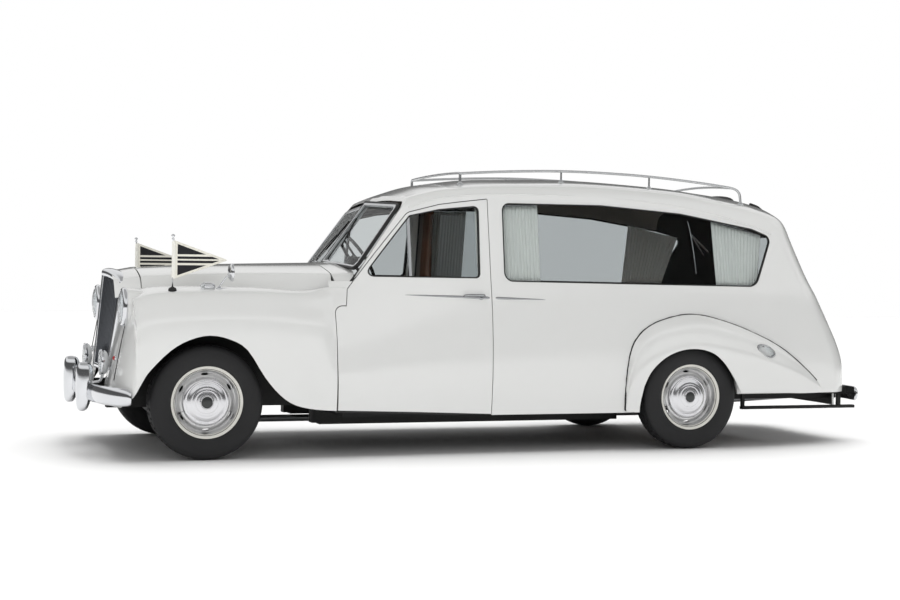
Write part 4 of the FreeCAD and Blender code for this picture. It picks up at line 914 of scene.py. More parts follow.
def build_front():
    """The bonnet, nose and scuttle, the four wings and the rear wheelhouses."""
    # the inner faces of the bonnet, nose, scuttle and wings are black: painted shade, seen through their gaps
    bonnet = panel(top_rows(BONNET, (-345, -250, -100, 100, 300, 480, 660, 780, 838)), "black", mirror=True,
                   thickness=18)
    named(bonnet, "bonnet_panel", "paint", "bonnet", "body_paint")
    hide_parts("bonnet")
    nose = panel(top_rows(NOSE_TOP, (-500, -470, -430, -390, -353)), "black", mirror=True, thickness=18)
    named(nose, "nose_top", "paint", slot="body_paint")
    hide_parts("nose_panel")
    scuttle = trimmed(skin_mesh(top_rows(SCUTTLE, (846, 900, 960, 1020, 1080))), 4, True)
    sharp(thickened(scuttle, 18, "black"))
    named(scuttle, "scuttle_panel", "paint", slot="body_paint")
    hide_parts("cowl")
    for rows, place, arch in ((front_wing_rows(), "front_wing", FRONT_ARCH),
                              (rear_wing_rows(), "rear_wing", REAR_ARCH)):
        wing = panel(rows, "black", cut=[(arch, "X", 560, 1100)])
        if place == "front_wing":
            carved(wing, cut=[through_side(DOOR_HOLE)], bevel=PANEL_BEVEL)
        left, right = pair(wing, place + "_panel", "paint", slot="body_paint")
        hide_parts(place + "_left")
        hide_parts(place + "_right")
    for side, hand in HANDS:
        named(wheelhouse(side), "rear_wheelhouse_" + hand, "black")


def wheelhouse(side):
    """The dark drum over a rear wheel, closed on its inner side, with a flange out to the body's side."""
    centre = at(side * 560, REAR_AXLE, WHEEL_HEIGHT)
    turn = Matrix.Rotation(math.radians(5), 3, "X")
    bm = bmesh.new()
    outline = ((0, 120), (0, 366), (10, 376), (256, 376), (256, 425), (260, 425), (260, 372), (12, 372), (4, 364),
               (4, 120))
    verts = [bm.verts.new(centre + turn @ Vector((side * a * MM, r * MM, 0))) for a, r in outline]
    edges = [bm.edges.new(ends) for ends in zip(verts, verts[1:] + verts[:1])]
    bmesh.ops.spin(bm, geom=verts + edges, cent=centre, axis=(1, 0, 0), angle=math.radians(189), steps=56)
    bmesh.ops.holes_fill(bm, edges=[edge for edge in bm.edges if edge.is_boundary])
    return sharp(to_object(bm))


def rings(sections, levels=2):
    """A closed skin through equal rings of places, smoothed."""
    bm = bmesh.new()
    loops = [[bm.verts.new(place) for place in section] for section in sections]
    count = len(loops[0])
    for low, high in zip(loops, loops[1:]):
        for i in range(count):
            j = (i + 1) % count
            bm.faces.new((low[i], low[j], high[j], high[i]))
    for loop in (loops[0], loops[-1]):
        bm.faces.new(loop)
    obj = to_object(bm)
    return smoothed(obj, levels) if levels else obj


def on_skin(skin_tree, station, z, side=1.0):
    """The place on the body's side at a station and height, and the way out of it."""
    start = at(side * 1400, station, z)
    place, normal, _, _ = skin_tree.ray_cast(start, Vector((-side, 0, 0)))
    return place, normal


# ---- wheels: profiles as (distance outwards from the wheel's middle, radius)
DISC = [(-80, 196), (-80, 221), (-76, 223), (-72, 221), (-70, 205), (-40, 200), (-24, 184), (24, 184), (34, 200),
        (52, 203), (60, 199), (50, 196), (40, 192), (30, 190), (20, 186), (16, 180), (19, 172), (24, 166), (28, 160),
        (29, 150), (28, 120), (24, 100), (16, 100), (10, 150), (6, 172), (-10, 176), (-44, 190), (-70, 194),
        (-80, 196)]
TRIM_RING = [(56, 200), (61, 199), (66, 201), (71, 207), (77, 214), (82, 220), (82, 224), (78, 225.5), (74, 224),
             (72, 219), (66, 210), (58, 204), (56, 200)]
HUBCAP = [(30, 148), (36, 149), (42, 147), (47, 142), (50, 136), (51, 130), (50, 126), (51, 122), (57, 112), (61, 103),
          (63, 96), (62.5, 92), (64, 88), (66, 80), (67.5, 70), (67, 68), (68.5, 64), (69.5, 52), (70, 44), (71, 41),
          (74, 40), (76, 38.5), (76, 36), (70, 34), (60, 34), (60, 88), (30, 140), (30, 148)]
HUB_BOSS = [(60, 0), (60, 35.5), (74, 35.5), (76.5, 34), (78, 30), (79, 20), (79.5, 0)]
TYRE_SIDE = [(-70, 204), (-74, 214), (-74, 222), (-80, 228), (-85, 236), (-91, 252), (-93.5, 272), (-94, 290),
             (-93, 306), (-91, 315), (-91.5, 318), (-89, 326), (-84, 338), (-76, 347), (-68, 351.5), (-60, 354)]
TREAD_GROOVES = [(-46, 355.3), (-44, 348), (-38, 348), (-36, 356.4), (-16, 357.6), (-14, 349), (-8, 349), (-6, 358)]
TREAD_STEPS = 144                   # steps round the tyre; every fourth one is a cut across a shoulder or the middle


def build_wheel(side, hand, place, x, station):
    """One wheel and tyre; side is 1 on the car's left."""
    centre = at(side * x, station, WHEEL_HEIGHT)
    out = (side, 0, 0)
    name = body = "wheel_" + place + "_" + hand
    disc = lathe(DISC, centre, out, steps=96)
    hole = joined([disc_hole(centre, math.radians(60 * i + 2)) for i in range(6)])
    add(disc, "BOOLEAN", object=hole, operation="DIFFERENCE", solver="EXACT")
    baked(disc)
    bpy.data.objects.remove(hole)
    add(disc, "BEVEL", width=0.0015, segments=2, limit_method="ANGLE", angle_limit=math.radians(50))
    baked(disc)
    named(sharp(disc), name + "_disc", "silver", body)
    named(lathe(TRIM_RING, centre, out, steps=96), name + "_trim_ring", "cream", body)
    named(lathe(HUBCAP, centre, out, steps=128), name + "_hubcap", "polished", body)
    named(lathe(HUB_BOSS, centre, out), name + "_boss", "boss", body)
    rivets = []
    for i in range(8):
        angle = math.tau * (i + 0.5) / 8
        spot = centre + Vector((side * 29, 155 * math.cos(angle), 155 * math.sin(angle))) * MM
        rivets.append(lathe([(-3, 0), (-3, 4), (1, 4), (3, 3), (4, 1.5), (4, 0)], spot, out, steps=12))
    spot = centre + Vector((side * 22, -176 * math.cos(0.4), -176 * math.sin(0.4))) * MM
    valve = lathe([(-6, 0), (-6, 5), (8, 4), (10, 3), (24, 3), (25, 2), (25, 0)], spot, out, steps=16)
    named(valve, name + "_valve", "rubber", body)
    named(joined(rivets), name + "_rivets", "chrome", body)
    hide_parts(name)
    rubber = named(tyre(side, centre), name + "_tyre", "tyre", body)
    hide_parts(name.replace("wheel", "tyre"))


def disc_hole(centre, angle):
    """A tool for one of the slots round a wheel's disc."""
    bm = bmesh.new()
    quarter = math.radians(90)
    bmesh.ops.create_cone(bm, cap_ends=True, segments=24, radius1=0.007, radius2=0.007, depth=0.14)
    bmesh.ops.scale(bm, vec=(3.4, 1.0, 1.0), verts=bm.verts)
    bmesh.ops.rotate(bm, matrix=Matrix.Rotation(quarter, 3, "Y") @ Matrix.Rotation(quarter, 3, "Z"), verts=bm.verts)
    bmesh.ops.translate(bm, vec=(0, 0, 0.173), verts=bm.verts)
    bmesh.ops.rotate(bm, matrix=Matrix.Rotation(angle, 3, "X"), verts=bm.verts)
    bmesh.ops.translate(bm, vec=centre, verts=bm.verts)
    return to_object(bm)


def tyre(side, centre):
    """A tyre with grooves round it and cuts across its tread."""
    half = TYRE_SIDE + TREAD_GROOVES
    points = half + [(-a, r) for a, r in reversed(half)] + [(40, 202), (0, 200), (-40, 202), (-70, 204)]
    bm = turned([(side * a, r) for a, r in points], centre, Vector((1, 0, 0)), Vector((0, 0, 1)), TREAD_STEPS)
    bmesh.ops.recalc_face_normals(bm, faces=bm.faces)
    cuts = []
    for face in bm.faces:
        spot = face.calc_center_median() - centre
        radius = math.hypot(spot.y, spot.z)
        turn = int(round(math.atan2(spot.z, spot.y) / math.tau * TREAD_STEPS - 0.5)) % 4
        shift = 0 if abs(spot.x) < 0.03 else 2
        if radius > 0.3525 and abs(spot.x) < 0.07 and turn == shift:
            cuts.append(face)
    made = bmesh.ops.extrude_face_region(bm, geom=cuts)
    bmesh.ops.delete(bm, geom=cuts, context="FACES_ONLY")
    for vert in [g for g in made["geom"] if isinstance(g, bmesh.types.BMVert)]:
        spot = Vector((0, vert.co.y - centre.y, vert.co.z - centre.z))
        vert.co -= spot.normalized() * 0.005
    return sharp(to_object(bm), 40)


def build_wheels():
    """The four wheels; the rear ones stand wider apart."""
    for side, hand in HANDS:
        for place, x, station in (("front", 743, 0), ("rear", 790, REAR_AXLE)):
            build_wheel(side, hand, place, x, station)


# ---- grille
def build_grille():
    """The grille's bright shell, its slats, middle bar and dark back."""
    # corners of the shell's front edge: half width, station, height
    top, bottom = (0, -522, 1166), (0, -578, 530)
    high, low = (290, -448, 1100), (252, -533, 512)

    def front(t, u):
        """A place on the slats' front face: t runs from the middle to the side, u from the foot to the top."""
        middle = Vector(bottom).lerp(Vector(top), u)
        side = Vector(low).lerp(Vector(high), u)
        place = middle.lerp(side, t)
        place.z = side.z + (middle.z - side.z) * (1 - t * t)
        return place

    pieces = []
    ring = [(-34, -3), (-30, -10), (-10, -13), (4, -8), (8, 6), (6, 40), (2, 62), (-26, 62), (-34, 30)]
    for side in (1, -1):
        sections = []
        for u in (0.0, 0.02, 0.25, 0.5, 0.75, 0.96, 1.0):
            p = front(1.0, u)
            sections.append([at(side * (p.x + a), p.y + b, p.z) for a, b in ring])
        pieces.append(rings(sections))
    sections = []
    ring = [(-16, -42), (-22, -26), (-20, -4), (-6, 8), (24, 14), (60, 8), (74, -8), (70, -30), (30, -36), (6, -44)]
    for x in (-300, -285, -220, -150, -75, -20, 0, 20, 75, 150, 220, 285, 300):
        p = front(min(1.0, abs(x) / 290.0), 1.0)
        drop = 10.0 if abs(x) == 300 else 0.0
        sections.append([at(x, p.y + b, p.z + c - drop) for b, c in ring])
    pieces.append(rings(sections))
    sections = []
    ring = [(-12, 4), (-14, 26), (-6, 36), (30, 38), (44, 30), (44, 4), (30, -6), (0, -6)]
    for x in (-262, -250, -130, -30, 0, 30, 130, 250, 262):
        p = front(min(1.0, abs(x) / 252.0), 0.0)
        sections.append([at(x, p.y + b, p.z + c) for b, c in ring])
    pieces.append(rings(sections))
    shell = joined(pieces)
    named(shell, "grille_shell", "chrome", slot="chrome")
    slats = []
    count = sizes().slat_count
    for side in (1, -1):
        for i in range(count):
            t = (i + 0.55) / (count + 0.4) * 0.9
            places = []
            for u in (0.035, 0.975):
                p = front(t, u)
                for a, b in ((-2.6, 2), (2.6, 2), (-1.2, -5), (1.2, -5), (-2.6, 34), (2.6, 34)):
                    places.append(at(side * (p.x + a), p.y + b, p.z))
            slats.append(hull(places, bevel=0.6, segments=1))
    bar = hull([at(a, y + b, z) for (y, z) in ((-578, 540), (-526, 1146)) for a in (-6, 6) for b in (-8, 26)]
               + [at(0, y - 14, z) for y, z in ((-578, 540), (-526, 1146))], bevel=2)
    slats = joined(slats)
    named(slats, "grille_slats", "slat")
    named(bar, "grille_middle_bar", "chrome")
    across = (-235, -120, 0, 120, 235)
    ring = [(x, 40) for x in across] + [(x, 60) for x in reversed(across)]
    back = rings([[at(x, front(abs(x) / 290.0, u).y + d, front(abs(x) / 290.0, u).z) for x, d in ring]
                  for u in (0.02, 0.3, 0.7, 0.97)], levels=0)
    named(back, "grille_back", "black")
    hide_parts("grille")


# ---- lamps
# Turned pieces of each lamp: name, finish, slot, steps round, and (distance ahead, radius) points
HEADLAMP = (
    ("headlamp_pod_", "paint", "body_paint", 96, [
        (-250, 0), (-250, 40), (-200, 78), (-130, 101), (-60, 113), (0, 119), (14, 119.5), (16, 116), (14, 106),
        (-20, 104), (-90, 90), (-150, 60), (-180, 0)]),
    ("headlamp_rim_", "chrome", "chrome", 96, [
        (14, 108), (14, 119), (18, 122.5), (26, 123), (34, 120), (40, 113), (43, 106), (43, 102), (40, 100),
        (32, 101), (20, 103), (14, 108)]),
    ("headlamp_lens_", "lens", "lamp_glass", 96, [
        (33, 100.5), (39, 100), (46, 90), (52, 72), (56, 48), (58, 24), (58.5, 0), (54.5, 0), (54, 24), (52, 47),
        (48, 70), (42, 88), (33, 98), (33, 100.5)]),
    ("headlamp_reflector_", "reflector", None, 96, [
        (31, 100), (28, 101), (6, 92), (-16, 76), (-34, 54), (-44, 30), (-48, 0), (-44, 0), (-40, 29), (-30, 52),
        (-12, 74), (9, 90), (31, 98.5), (31, 100)]),
    ("headlamp_bulb_", "frosted", None, 32, [
        (-42, 0), (-42, 13), (-20, 13), (-18, 10), (-8, 15), (2, 14), (8, 8), (10, 0)]),
)
FOG_LAMP = (
    ("fog_lamp_shell_", "chrome", "chrome", 80, [
        (-26, 0), (-26, 26), (-22, 52), (-12, 70), (2, 80), (14, 82), (22, 82), (26, 79), (26, 74), (22, 73),
        (14, 76), (2, 73), (-10, 60), (-18, 30), (-20, 0)]),
    ("fog_lamp_glass_", "lens", "lamp_glass", 80, [
        (15, 75), (21, 74), (25, 66), (28, 44), (30, 20), (30.5, 0), (27, 0), (26, 20), (24, 43), (21, 63),
        (15, 72), (15, 75)]),
    ("fog_lamp_reflector_", "reflector", None, 80, [
        (12, 74.5), (-2, 66), (-12, 46), (-17, 20), (-18, 0), (-15, 0), (-14, 20), (-9, 44), (1, 64), (12, 73),
        (12, 74.5)]),
)
MARKER_LAMP = (
    ("marker_lamp_base_", "chrome", None, 40, [
        (-22, 0), (-22, 19), (-2, 21), (4, 20), (5, 17), (0, 15), (-10, 0)]),
    ("marker_lamp_lens_", "red", None, 40, [(-8, 0), (-8, 14.5), (4, 15), (12, 12), (16, 6), (17, 0)]),
)
SIDE_LAMP = (
    ("side_lamp_", "chrome", "chrome", 48, [
        (-46, 0), (-45, 12), (-36, 19), (-20, 23.5), (0, 25), (18, 24), (22, 25.5), (25, 24), (25, 0)]),
    ("side_lamp_lens_", "lens", "lamp_glass", 48, [(22, 0), (22, 22), (30, 20), (40, 14), (46, 6), (47, 0)]),
)
FORWARD, UPWARD = Vector((0, -1, 0)), Vector((0, 0, 1))
STAFF_X, STAFF = 720, -207          # the pennant staffs' place off the middle, and station


def lamp(table, centre, hand):
    """A lamp's turned pieces by the start of their names."""
    return {name: named(lathe(points, centre, FORWARD, steps), name + hand, key, slot=slot)
            for name, key, slot, steps, points in table}


def build_lamps():
    """The headlamps, fog lamps and small red lamps beside the grille."""
    for side, hand in HANDS:
        head = lamp(HEADLAMP, at(side * 600, -462, 938), hand)
        fog = lamp(FOG_LAMP, at(side * 400, -574, 585), hand)
        foot = tube([at(side * 400, y, z) for y, z in ((-580, 508), (-590, 480), (-600, 462), (-648, 459))], 9)
        named(foot, "fog_lamp_foot_" + hand, "chrome")
        lamp(MARKER_LAMP, at(side * 560, -528, 620), hand)
        if side == 1:
            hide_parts("headlamps")
            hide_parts("fog_lamps")


# ---- bumpers
def blade_sections(path, low, high, lean=0.0):
    """Rings of a bumper blade along plan points (x, station), with a crowned face."""
    sections = []
    count = len(path)
    for i, (x, y) in enumerate(path):
        before, after = path[max(0, i - 1)], path[min(count - 1, i + 1)]
        along = Vector((after[0] - before[0], after[1] - before[1], 0)).normalized()
        out = Vector((along.y, -along.x, 0))
        end = min(i, count - 1 - i)
        taper = (0.52, 0.86, 0.97)[end] if end < 3 else 1.0
        middle, half = (low + high) / 2.0 - (1 - taper) * lean, (high - low) / 2.0 * taper
        profile = [(-18, -0.97), (-9, -1.0), (2, -0.86), (9, -0.45), (11, 0.0), (9, 0.45), (2, 0.86), (-9, 1.0),
                   (-18, 0.97), (-14, 0.8), (-4, 0.4), (-3, 0.0), (-4, -0.4), (-14, -0.8)]
        sections.append([at(x + out.x * a, y + out.y * a, middle + half * b) for a, b in profile])
    return sections


# height, half width, and stations of the front and back of an over-rider
OVER_RIDER = ((274, 24, -712, -690), (280, 40, -724, -672), (302, 50, -734, -655), (360, 54, -739, -640),
              (430, 54, -740, -632), (500, 53, -740, -628), (545, 49, -737, -632), (572, 38, -728, -644),
              (584, 20, -712, -668))
OVER_RIDER_RING = ((-0.95, 0.0), (-1.0, 0.45), (-0.84, 0.86), (-0.42, 1.0), (0.42, 1.0), (0.84, 0.86), (1.0, 0.45),
                   (0.95, 0.0))
# distance off the middle, half width, stations and heights of the long bar, its two posts, the arm that carries
# the blade, and the blade's bracket
REAR_BARS = ((500, 20, 3975, 4938, 232, 254), (500, 12, 3975, 4000, 234, 345), (500, 12, 4790, 4820, 234, 345),
             (500, 20, 4640, 4870, 340, 392), (400, 20, 4836, 4874, 326, 362))


def build_bumpers():
    """The front bumper with its over-riders and irons, and the rear bumper with its bars."""
    half = [(0, -683), (150, -681), (300, -675), (450, -664), (580, -646), (690, -618), (790, -580), (860, -530),
            (893, -486), (898, -474)]
    path = [(-x, y) for x, y in reversed(half[1:])] + half
    blade = rings(blade_sections(path, 340, 456, lean=10.0))
    named(blade, "front_bumper_blade", "chrome", slot="chrome")
    riders = [rings([[at(side * 336 + width * a, back + (front - back) * b, z) for a, b in OVER_RIDER_RING]
                     for z, width, front, back in OVER_RIDER]) for side in (1, -1)]
    named(joined(riders), "front_over_riders", "chrome", slot="chrome")
    irons = [block(side * 400 - 20, side * 400 + 20, -676, -557, 380, 420) for side in (1, -1)]
    named(joined(irons), "front_bumper_irons", "black")
    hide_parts("front_bumper")

    half = [(0, 4890), (200, 4886), (400, 4876), (550, 4862), (650, 4842), (710, 4818), (735, 4800), (742, 4792)]
    path = list(reversed(half[1:])) + [(-x, y) for x, y in half]
    rear = rings(blade_sections(path, 300, 404))
    named(rear, "rear_bumper_blade", "chrome", slot="chrome")
    bars = [block(side * x - half_width, side * x + half_width, y0, y1, z0, z1, 3)
            for side in (1, -1) for x, half_width, y0, y1, z0, z1 in REAR_BARS]
    named(joined(bars), "rear_step_bars", "black")
    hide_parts("rear_bumper")


# ---- places on the body
def side_point(tree, side, station, z, out=0.0):
    """A place out mm off the body's side."""
    place, normal = on_skin(tree, station, z, side)
    return place + normal * out * MM


def roof_point(tree, x, station, up=0.0):
    """A place up mm above the roof."""
    place, _, _, _ = tree.ray_cast(at(x, station, 2400), Vector((0, 0, -1)))
    return place + Vector((0, 0, up * MM))


def tree_of(skin):
    """A search tree of a sheet, which is removed."""
    tree = BVHTree.FromObject(skin, bpy.context.evaluated_depsgraph_get())
    bpy.data.objects.remove(skin)
    return tree


# ---- windscreen
def screen_place(offset):
    """Maps (x, z) on the windscreen to the scene, offset mm behind its outer face, for side 1 or -1."""
    def place(x, z):
        return at(x, screen_station(x, z) + offset, z)
    return place


def flipped(outline):
    """An outline on the car's other side."""
    return [(-x, z, r) for x, z, r in outline]


def build_screen():
    """The windscreen's two panes with their rubber and surround, the post between, and the wipers."""
    frame_outline = [(4, 1228, 0), (4, 1660, 0), (628, 1626, 50), (678, 1188, 60)]
    silver_outline = [(2, 1234, 0), (2, 1652, 0), (619, 1619, 44), (669, 1195, 54)]
    rubbers, frames, panes = [], [], []
    for side in (1, -1):
        turn = flipped if side < 0 else list
        rubbers.append(plate(turn(frame_outline), screen_place(-7), 24, hole=14, bevel=2))
        frames.append(plate(turn(silver_outline), screen_place(-13), 18, hole=22, bevel=4))
        panes.append(plate(turn(grown(SCREEN, 8.0)), screen_place(-5), 5, bevel=0))
    rubber = named(joined(rubbers), "screen_rubber", "rubber")
    frame_piece = named(joined(frames), "screen_surround", "screen_frame", slot="chrome")
    named(joined(panes), "screen_panes", "screen_glass", slot="glass")
    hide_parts("screen_frame")
    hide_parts("body_glass")
    post = hull([at(x, screen_station(0, z) + d, z) for z in (1236, 1652) for x in (-11, 11) for d in (-18, 22)],
                bevel=3)
    named(post, "screen_post", "screen_frame", slot="chrome")
    wipers, pivots = [], []
    for foot, low, high in (((-330, 1252), (-250, 1330), (-150, 1535)), ((60, 1258), (122, 1352), (32, 1550))):
        blade = hull([at(x + a, screen_station(x, z) - d, z) for x, z in (low, high) for a in (-2, 2)
                      for d in (8, 22)], bevel=1)
        middle = ((low[0] + high[0]) / 2.0, (low[1] + high[1]) / 2.0)
        arm = tube([at(x, screen_station(x, z) - ahead, z + up) for (x, z), ahead, up in (
            (foot, 12, -8), (foot, 26, 0), (middle, 30, 0), (middle, 20, 6))], 3.2)
        pivot = lathe([(-14, 0), (-14, 13), (0, 13), (6, 10), (10, 6), (10, 0)],
                      at(foot[0], screen_station(*foot) - 16, foot[1] - 6), (0, -0.81, 0.59), 24)
        wipers += [blade, arm]
        pivots.append(pivot)
    named(joined(wipers), "wipers", "rubber")
    named(joined(pivots), "wiper_pivots", "chrome")


# ---- side trim and rear lamps
def wing_junction(tree, wing_tree, side):
    """Places along the line where a rear wing leaves the body's side, from the sill over the wheel to the tail."""
    seam = []
    for step in range(76):
        angle = math.radians(193.0 - step * 2.5)
        for reach in range(1240, 420, -3):
            station, z = REAR_AXLE + reach * math.cos(angle), WHEEL_HEIGHT + reach * math.sin(angle)
            if z < 258.0 or station > 4440.0:
                continue
            wing, _ = on_skin(wing_tree, station, z)
            body, normal = on_skin(tree, station, z)
            if wing and body and wing.x > body.x + 0.0005:
                place = body + normal * 0.001
                seam.append(Vector((side * place.x, place.y, place.z)))
                break
    return seam


def side_trim(tree, side, run):
    """A bright spear on the body's side through (station, share of its full height) places."""
    sections = []
    for station, share in run:
        half = share * sizes().trim_half / MM
        base, normal = on_skin(tree, station, 1038.0 - (station - 1274.0) * 0.0209, side)
        up = UPWARD - normal * normal.z
        sections.append([base + normal * (a * half + 1.0) * MM + up * b * half * MM
                         for a, b in ((-0.6, -1), (0.25, -0.9), (0.62, 0), (0.25, 0.9), (-0.6, 1), (-1.2, 0))])
    return rings(sections)


def door_handle(tree, side):
    """The bow of a door's handle with its round lock."""
    bow = ((1690, 6), (1696, 26), (1730, 33), (1790, 33), (1822, 30), (1828, 6))
    handle = tube([side_point(tree, side, station, 1036, out) for station, out in bow], 8, resolution=6)
    base, normal = on_skin(tree, 1806, 1030, side)
    return joined([handle, lathe([(-4, 0), (-4, 19), (5, 19), (10, 16), (12, 10), (12.5, 0)], base, normal, 40)])


def rear_lamp(side, points):
    """A turned piece of the rear wing's lamp, drawn out into an oval that slopes with the wing."""
    spot = at(side * 893, 3925, 676)
    piece = lathe(points, spot, (side, 0.0, 0.02), 64)
    slope = Matrix.Rotation(math.radians(-22), 4, "X")
    with edited(piece) as bm:
        bmesh.ops.rotate(bm, matrix=slope.inverted(), verts=bm.verts, cent=spot)
        bmesh.ops.scale(bm, vec=(1.0, 1.36, 0.66), verts=bm.verts, space=Matrix.Translation(-spot))
        bmesh.ops.rotate(bm, matrix=slope, verts=bm.verts, cent=spot)
    return piece


def build_trim():
    """Side trim, door handles, piping, gutters, rear wing lamps and the tailgate's hinge leaves."""
    tree = tree_of(skin_mesh(body_rows()))
    wing_tree = tree_of(skin_mesh(rear_wing_rows(), mirror=False))
    for side, hand in HANDS:
        door = "door_" + hand
        named(side_trim(tree, side, ((1274, 0.20), (1400, 0.48), (1560, 0.70), (1700, 0.86), (1806, 1.0), (1874, 1.0))),
              "door_trim_" + hand, "trim", door, "chrome")
        named(side_trim(tree, side, ((1900, 1.0), (1980, 0.84), (2100, 0.58), (2278, 0.20))),
              "side_trim_" + hand, "trim", slot="chrome")
        named(door_handle(tree, side), "door_handle_" + hand, "trim", door)
        piping = tube(wing_junction(tree, wing_tree, side), sizes().piping_radius / MM, resolution=3)
        named(piping, "wing_piping_" + hand, "rubber")
        nose = ((618, 486), (619, 600), (621, 720), (624, 800), (626, 834))
        nose_seam = tube([at(side * x, front_face(x, z) - 0.8, z) for x, z in nose], 2.8, resolution=3)
        named(nose_seam, "nose_seam_" + hand, "rubber")
        # from the windscreen's top over the door and the load space to the tail
        run = ((1350, 1612), (1440, 1648), (1560, 1678), (1700, 1698), (1917, 1716), (2414, 1722), (3043, 1706),
               (3492, 1655), (3964, 1550), (4105, 1500))
        gutter = tube([side_point(tree, side, y, z, 1.0) for y, z in run], sizes().gutter_radius / MM, resolution=3)
        named(gutter, "gutter_" + hand, "paint", slot="body_paint")
        rim = rear_lamp(side, [(-40, 0), (-40, 52), (-6, 56), (4, 60), (12, 60), (17, 55), (18, 50), (12, 47),
                               (-6, 46), (-10, 0)])
        named(rim, "rear_lamp_rim_" + hand, "trim", slot="chrome")
        lens = rear_lamp(side, [(4, 0), (4, 47), (14, 47), (20, 38), (25, 20), (26, 0)])
        named(lens, "rear_lamp_lens_" + hand, "lens", slot="lamp_glass")
        if side == 1:
            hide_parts("rear_lamps")
    leaves = [tube([roof_point(tree, x, y, 4) for y in (4190, 4230, 4270, 4310)], 11, resolution=4)
              for x in (-210, 210)]
    named(joined(leaves), "tailgate_hinge_leaves", "black")


# ---- roof rail
def build_rail():
    """The roof rail: two runs on posts, a hoop ahead and a bow behind."""
    tree = tree_of(skin_mesh(body_rows()))
    front, tail = 1763, 3936        # stations of the rail's two ends
    runs, pieces = [], []
    for side in (1, -1):
        x = side * 500
        run = [at(x, y, z) for y, z in ((front, 1857), (1790, 1860), (2100, 1884), (2510, 1903), (2850, 1901),
                                        (3192, 1891), (3560, 1864), (3820, 1838), (3889, 1827), (3918, 1806),
                                        (3932, 1775))]
        runs.append(run + [roof_point(tree, x, tail, -2)])
        for y, z in ((2510, 1903), (3192, 1891)):
            foot = roof_point(tree, x, y, -2)
            pieces.append(tube([foot, foot + UPWARD * 0.02, at(x, y, z - 4)], 6.5, round_corners=False))
            pieces.append(lathe([(-6, 0), (-6, 22), (4, 21), (8, 14), (14, 9), (20, 8), (20, 0)], foot, UPWARD, 32))
            pieces.append(lathe([(-12, 0), (-12, 7), (-5, 9), (0, 11), (5, 9), (6, 0)], at(x, y, z), UPWARD, 24))
        for y in (front, tail):
            pieces.append(lathe([(-8, 0), (-8, 24), (5, 23), (9, 15), (16, 11), (22, 10), (22, 0)],
                                roof_point(tree, x, y), UPWARD, 32))
    hoop = [roof_point(tree, 500, front, -2), at(500, front, 1835), at(500, front, 1857), at(478, front, 1861)]
    hoop += [at(x, front, 1861 + 9 * (1 - (x / 480) ** 2)) for x in (300, 100)]
    runs.append(hoop + [Vector((-p.x, p.y, p.z)) for p in reversed(hoop)])
    runs.append([at(x, 3850, 1832 + 22 * (1 - (x / 500) ** 2)) for x in (-500, -330, -150, 0, 150, 330, 500)])
    pieces += [tube(run, sizes().rail_radius / MM, resolution=6) for run in runs]
    rail = named(joined(pieces), "roof_rail_tubes", "rail", slot="chrome")
    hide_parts("roof_rail")


# ---- mirrors, side lamps and pennants
def build_wing_fittings():
    """What stands on each front wing: mirror, side lamp, and the pennant on its staff."""
    for side, hand in HANDS:
        wing_mirror(side, hand)
        lamp(SIDE_LAMP, at(side * 705, 16, 1075), hand)
        oval = [(-1, 0), (-0.7, 0.7), (0, 1), (0.7, 0.7), (1, 0), (0.7, -0.7), (0, -1), (-0.7, -0.7)]
        foot = rings([[at(side * 705 + a * 14, 20 + b * 34, z) for a, b in oval] for z in (1040, 1052, 1060)])
        named(foot, "side_lamp_foot_" + hand, "rubber")

        staff = lathe([(-30, 0), (-30, 5), (290, 4.6), (318, 4.4), (320, 8), (326, 8.5), (330, 5), (334, 5), (338, 9),
                       (345, 11.5), (352, 9), (356, 0)], at(side * STAFF_X, STAFF, 1041), UPWARD, 32)
        named(staff, "pennant_staff_" + hand, "chrome", slot="chrome")
        if side == 1:
            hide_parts("pennant_staffs")
        boot = lathe([(-30, 0), (-30, 27), (0, 26), (10, 22), (14, 14), (18, 9), (18, 0)],
                     at(side * STAFF_X, STAFF, 1052), UPWARD, 40)
        named(boot, "pennant_boot_" + hand, "rubber")
        pennant(side, hand)


def wing_mirror(side, hand):
    """A round mirror on an arm, with the bright spear that runs back from its foot."""
    crown = 1061.0
    centre = at(side * 750, 150, 1163)
    base = lathe([(-20, 0), (-20, 22), (4, 20), (9, 13), (15, 8), (15, 0)], at(side * 703, 88, crown), UPWARD, 32)
    arm = tube([at(side * x, y, z) for x, y, z in ((703, 88, crown + 5), (712, 98, crown + 28), (738, 136, 1148),
                                                   (748, 146, 1163))], 5)
    head = lathe([(-17, 0), (-16, 20), (-10, 42), (0, 54), (8, 57.5), (12, 57.5), (13, 55), (11, 53), (8, 0)],
                 centre, -FORWARD, 64)
    ring = ((-1, 0), (-0.7, 0.6), (0, 0.9), (0.7, 0.6), (1, 0), (0, -0.6))
    spear = rings([[at(side * (703 + a * w), y, crown + 1 + b * w) for a, b in ring]
                   for y, w in ((90, 8), (120, 6), (160, 4), (200, 1.5))])
    piece = named(joined([base, arm, head, spear]), "wing_mirror_" + hand, "chrome", slot="chrome")
    if side == 1:
        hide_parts("wing_fittings")
    glass = lathe([(9, 0), (9, 54), (10.5, 54), (12.5, 30), (13.5, 0)], centre, -FORWARD, 64)
    named(glass, "wing_mirror_glass_" + hand, "reflector")


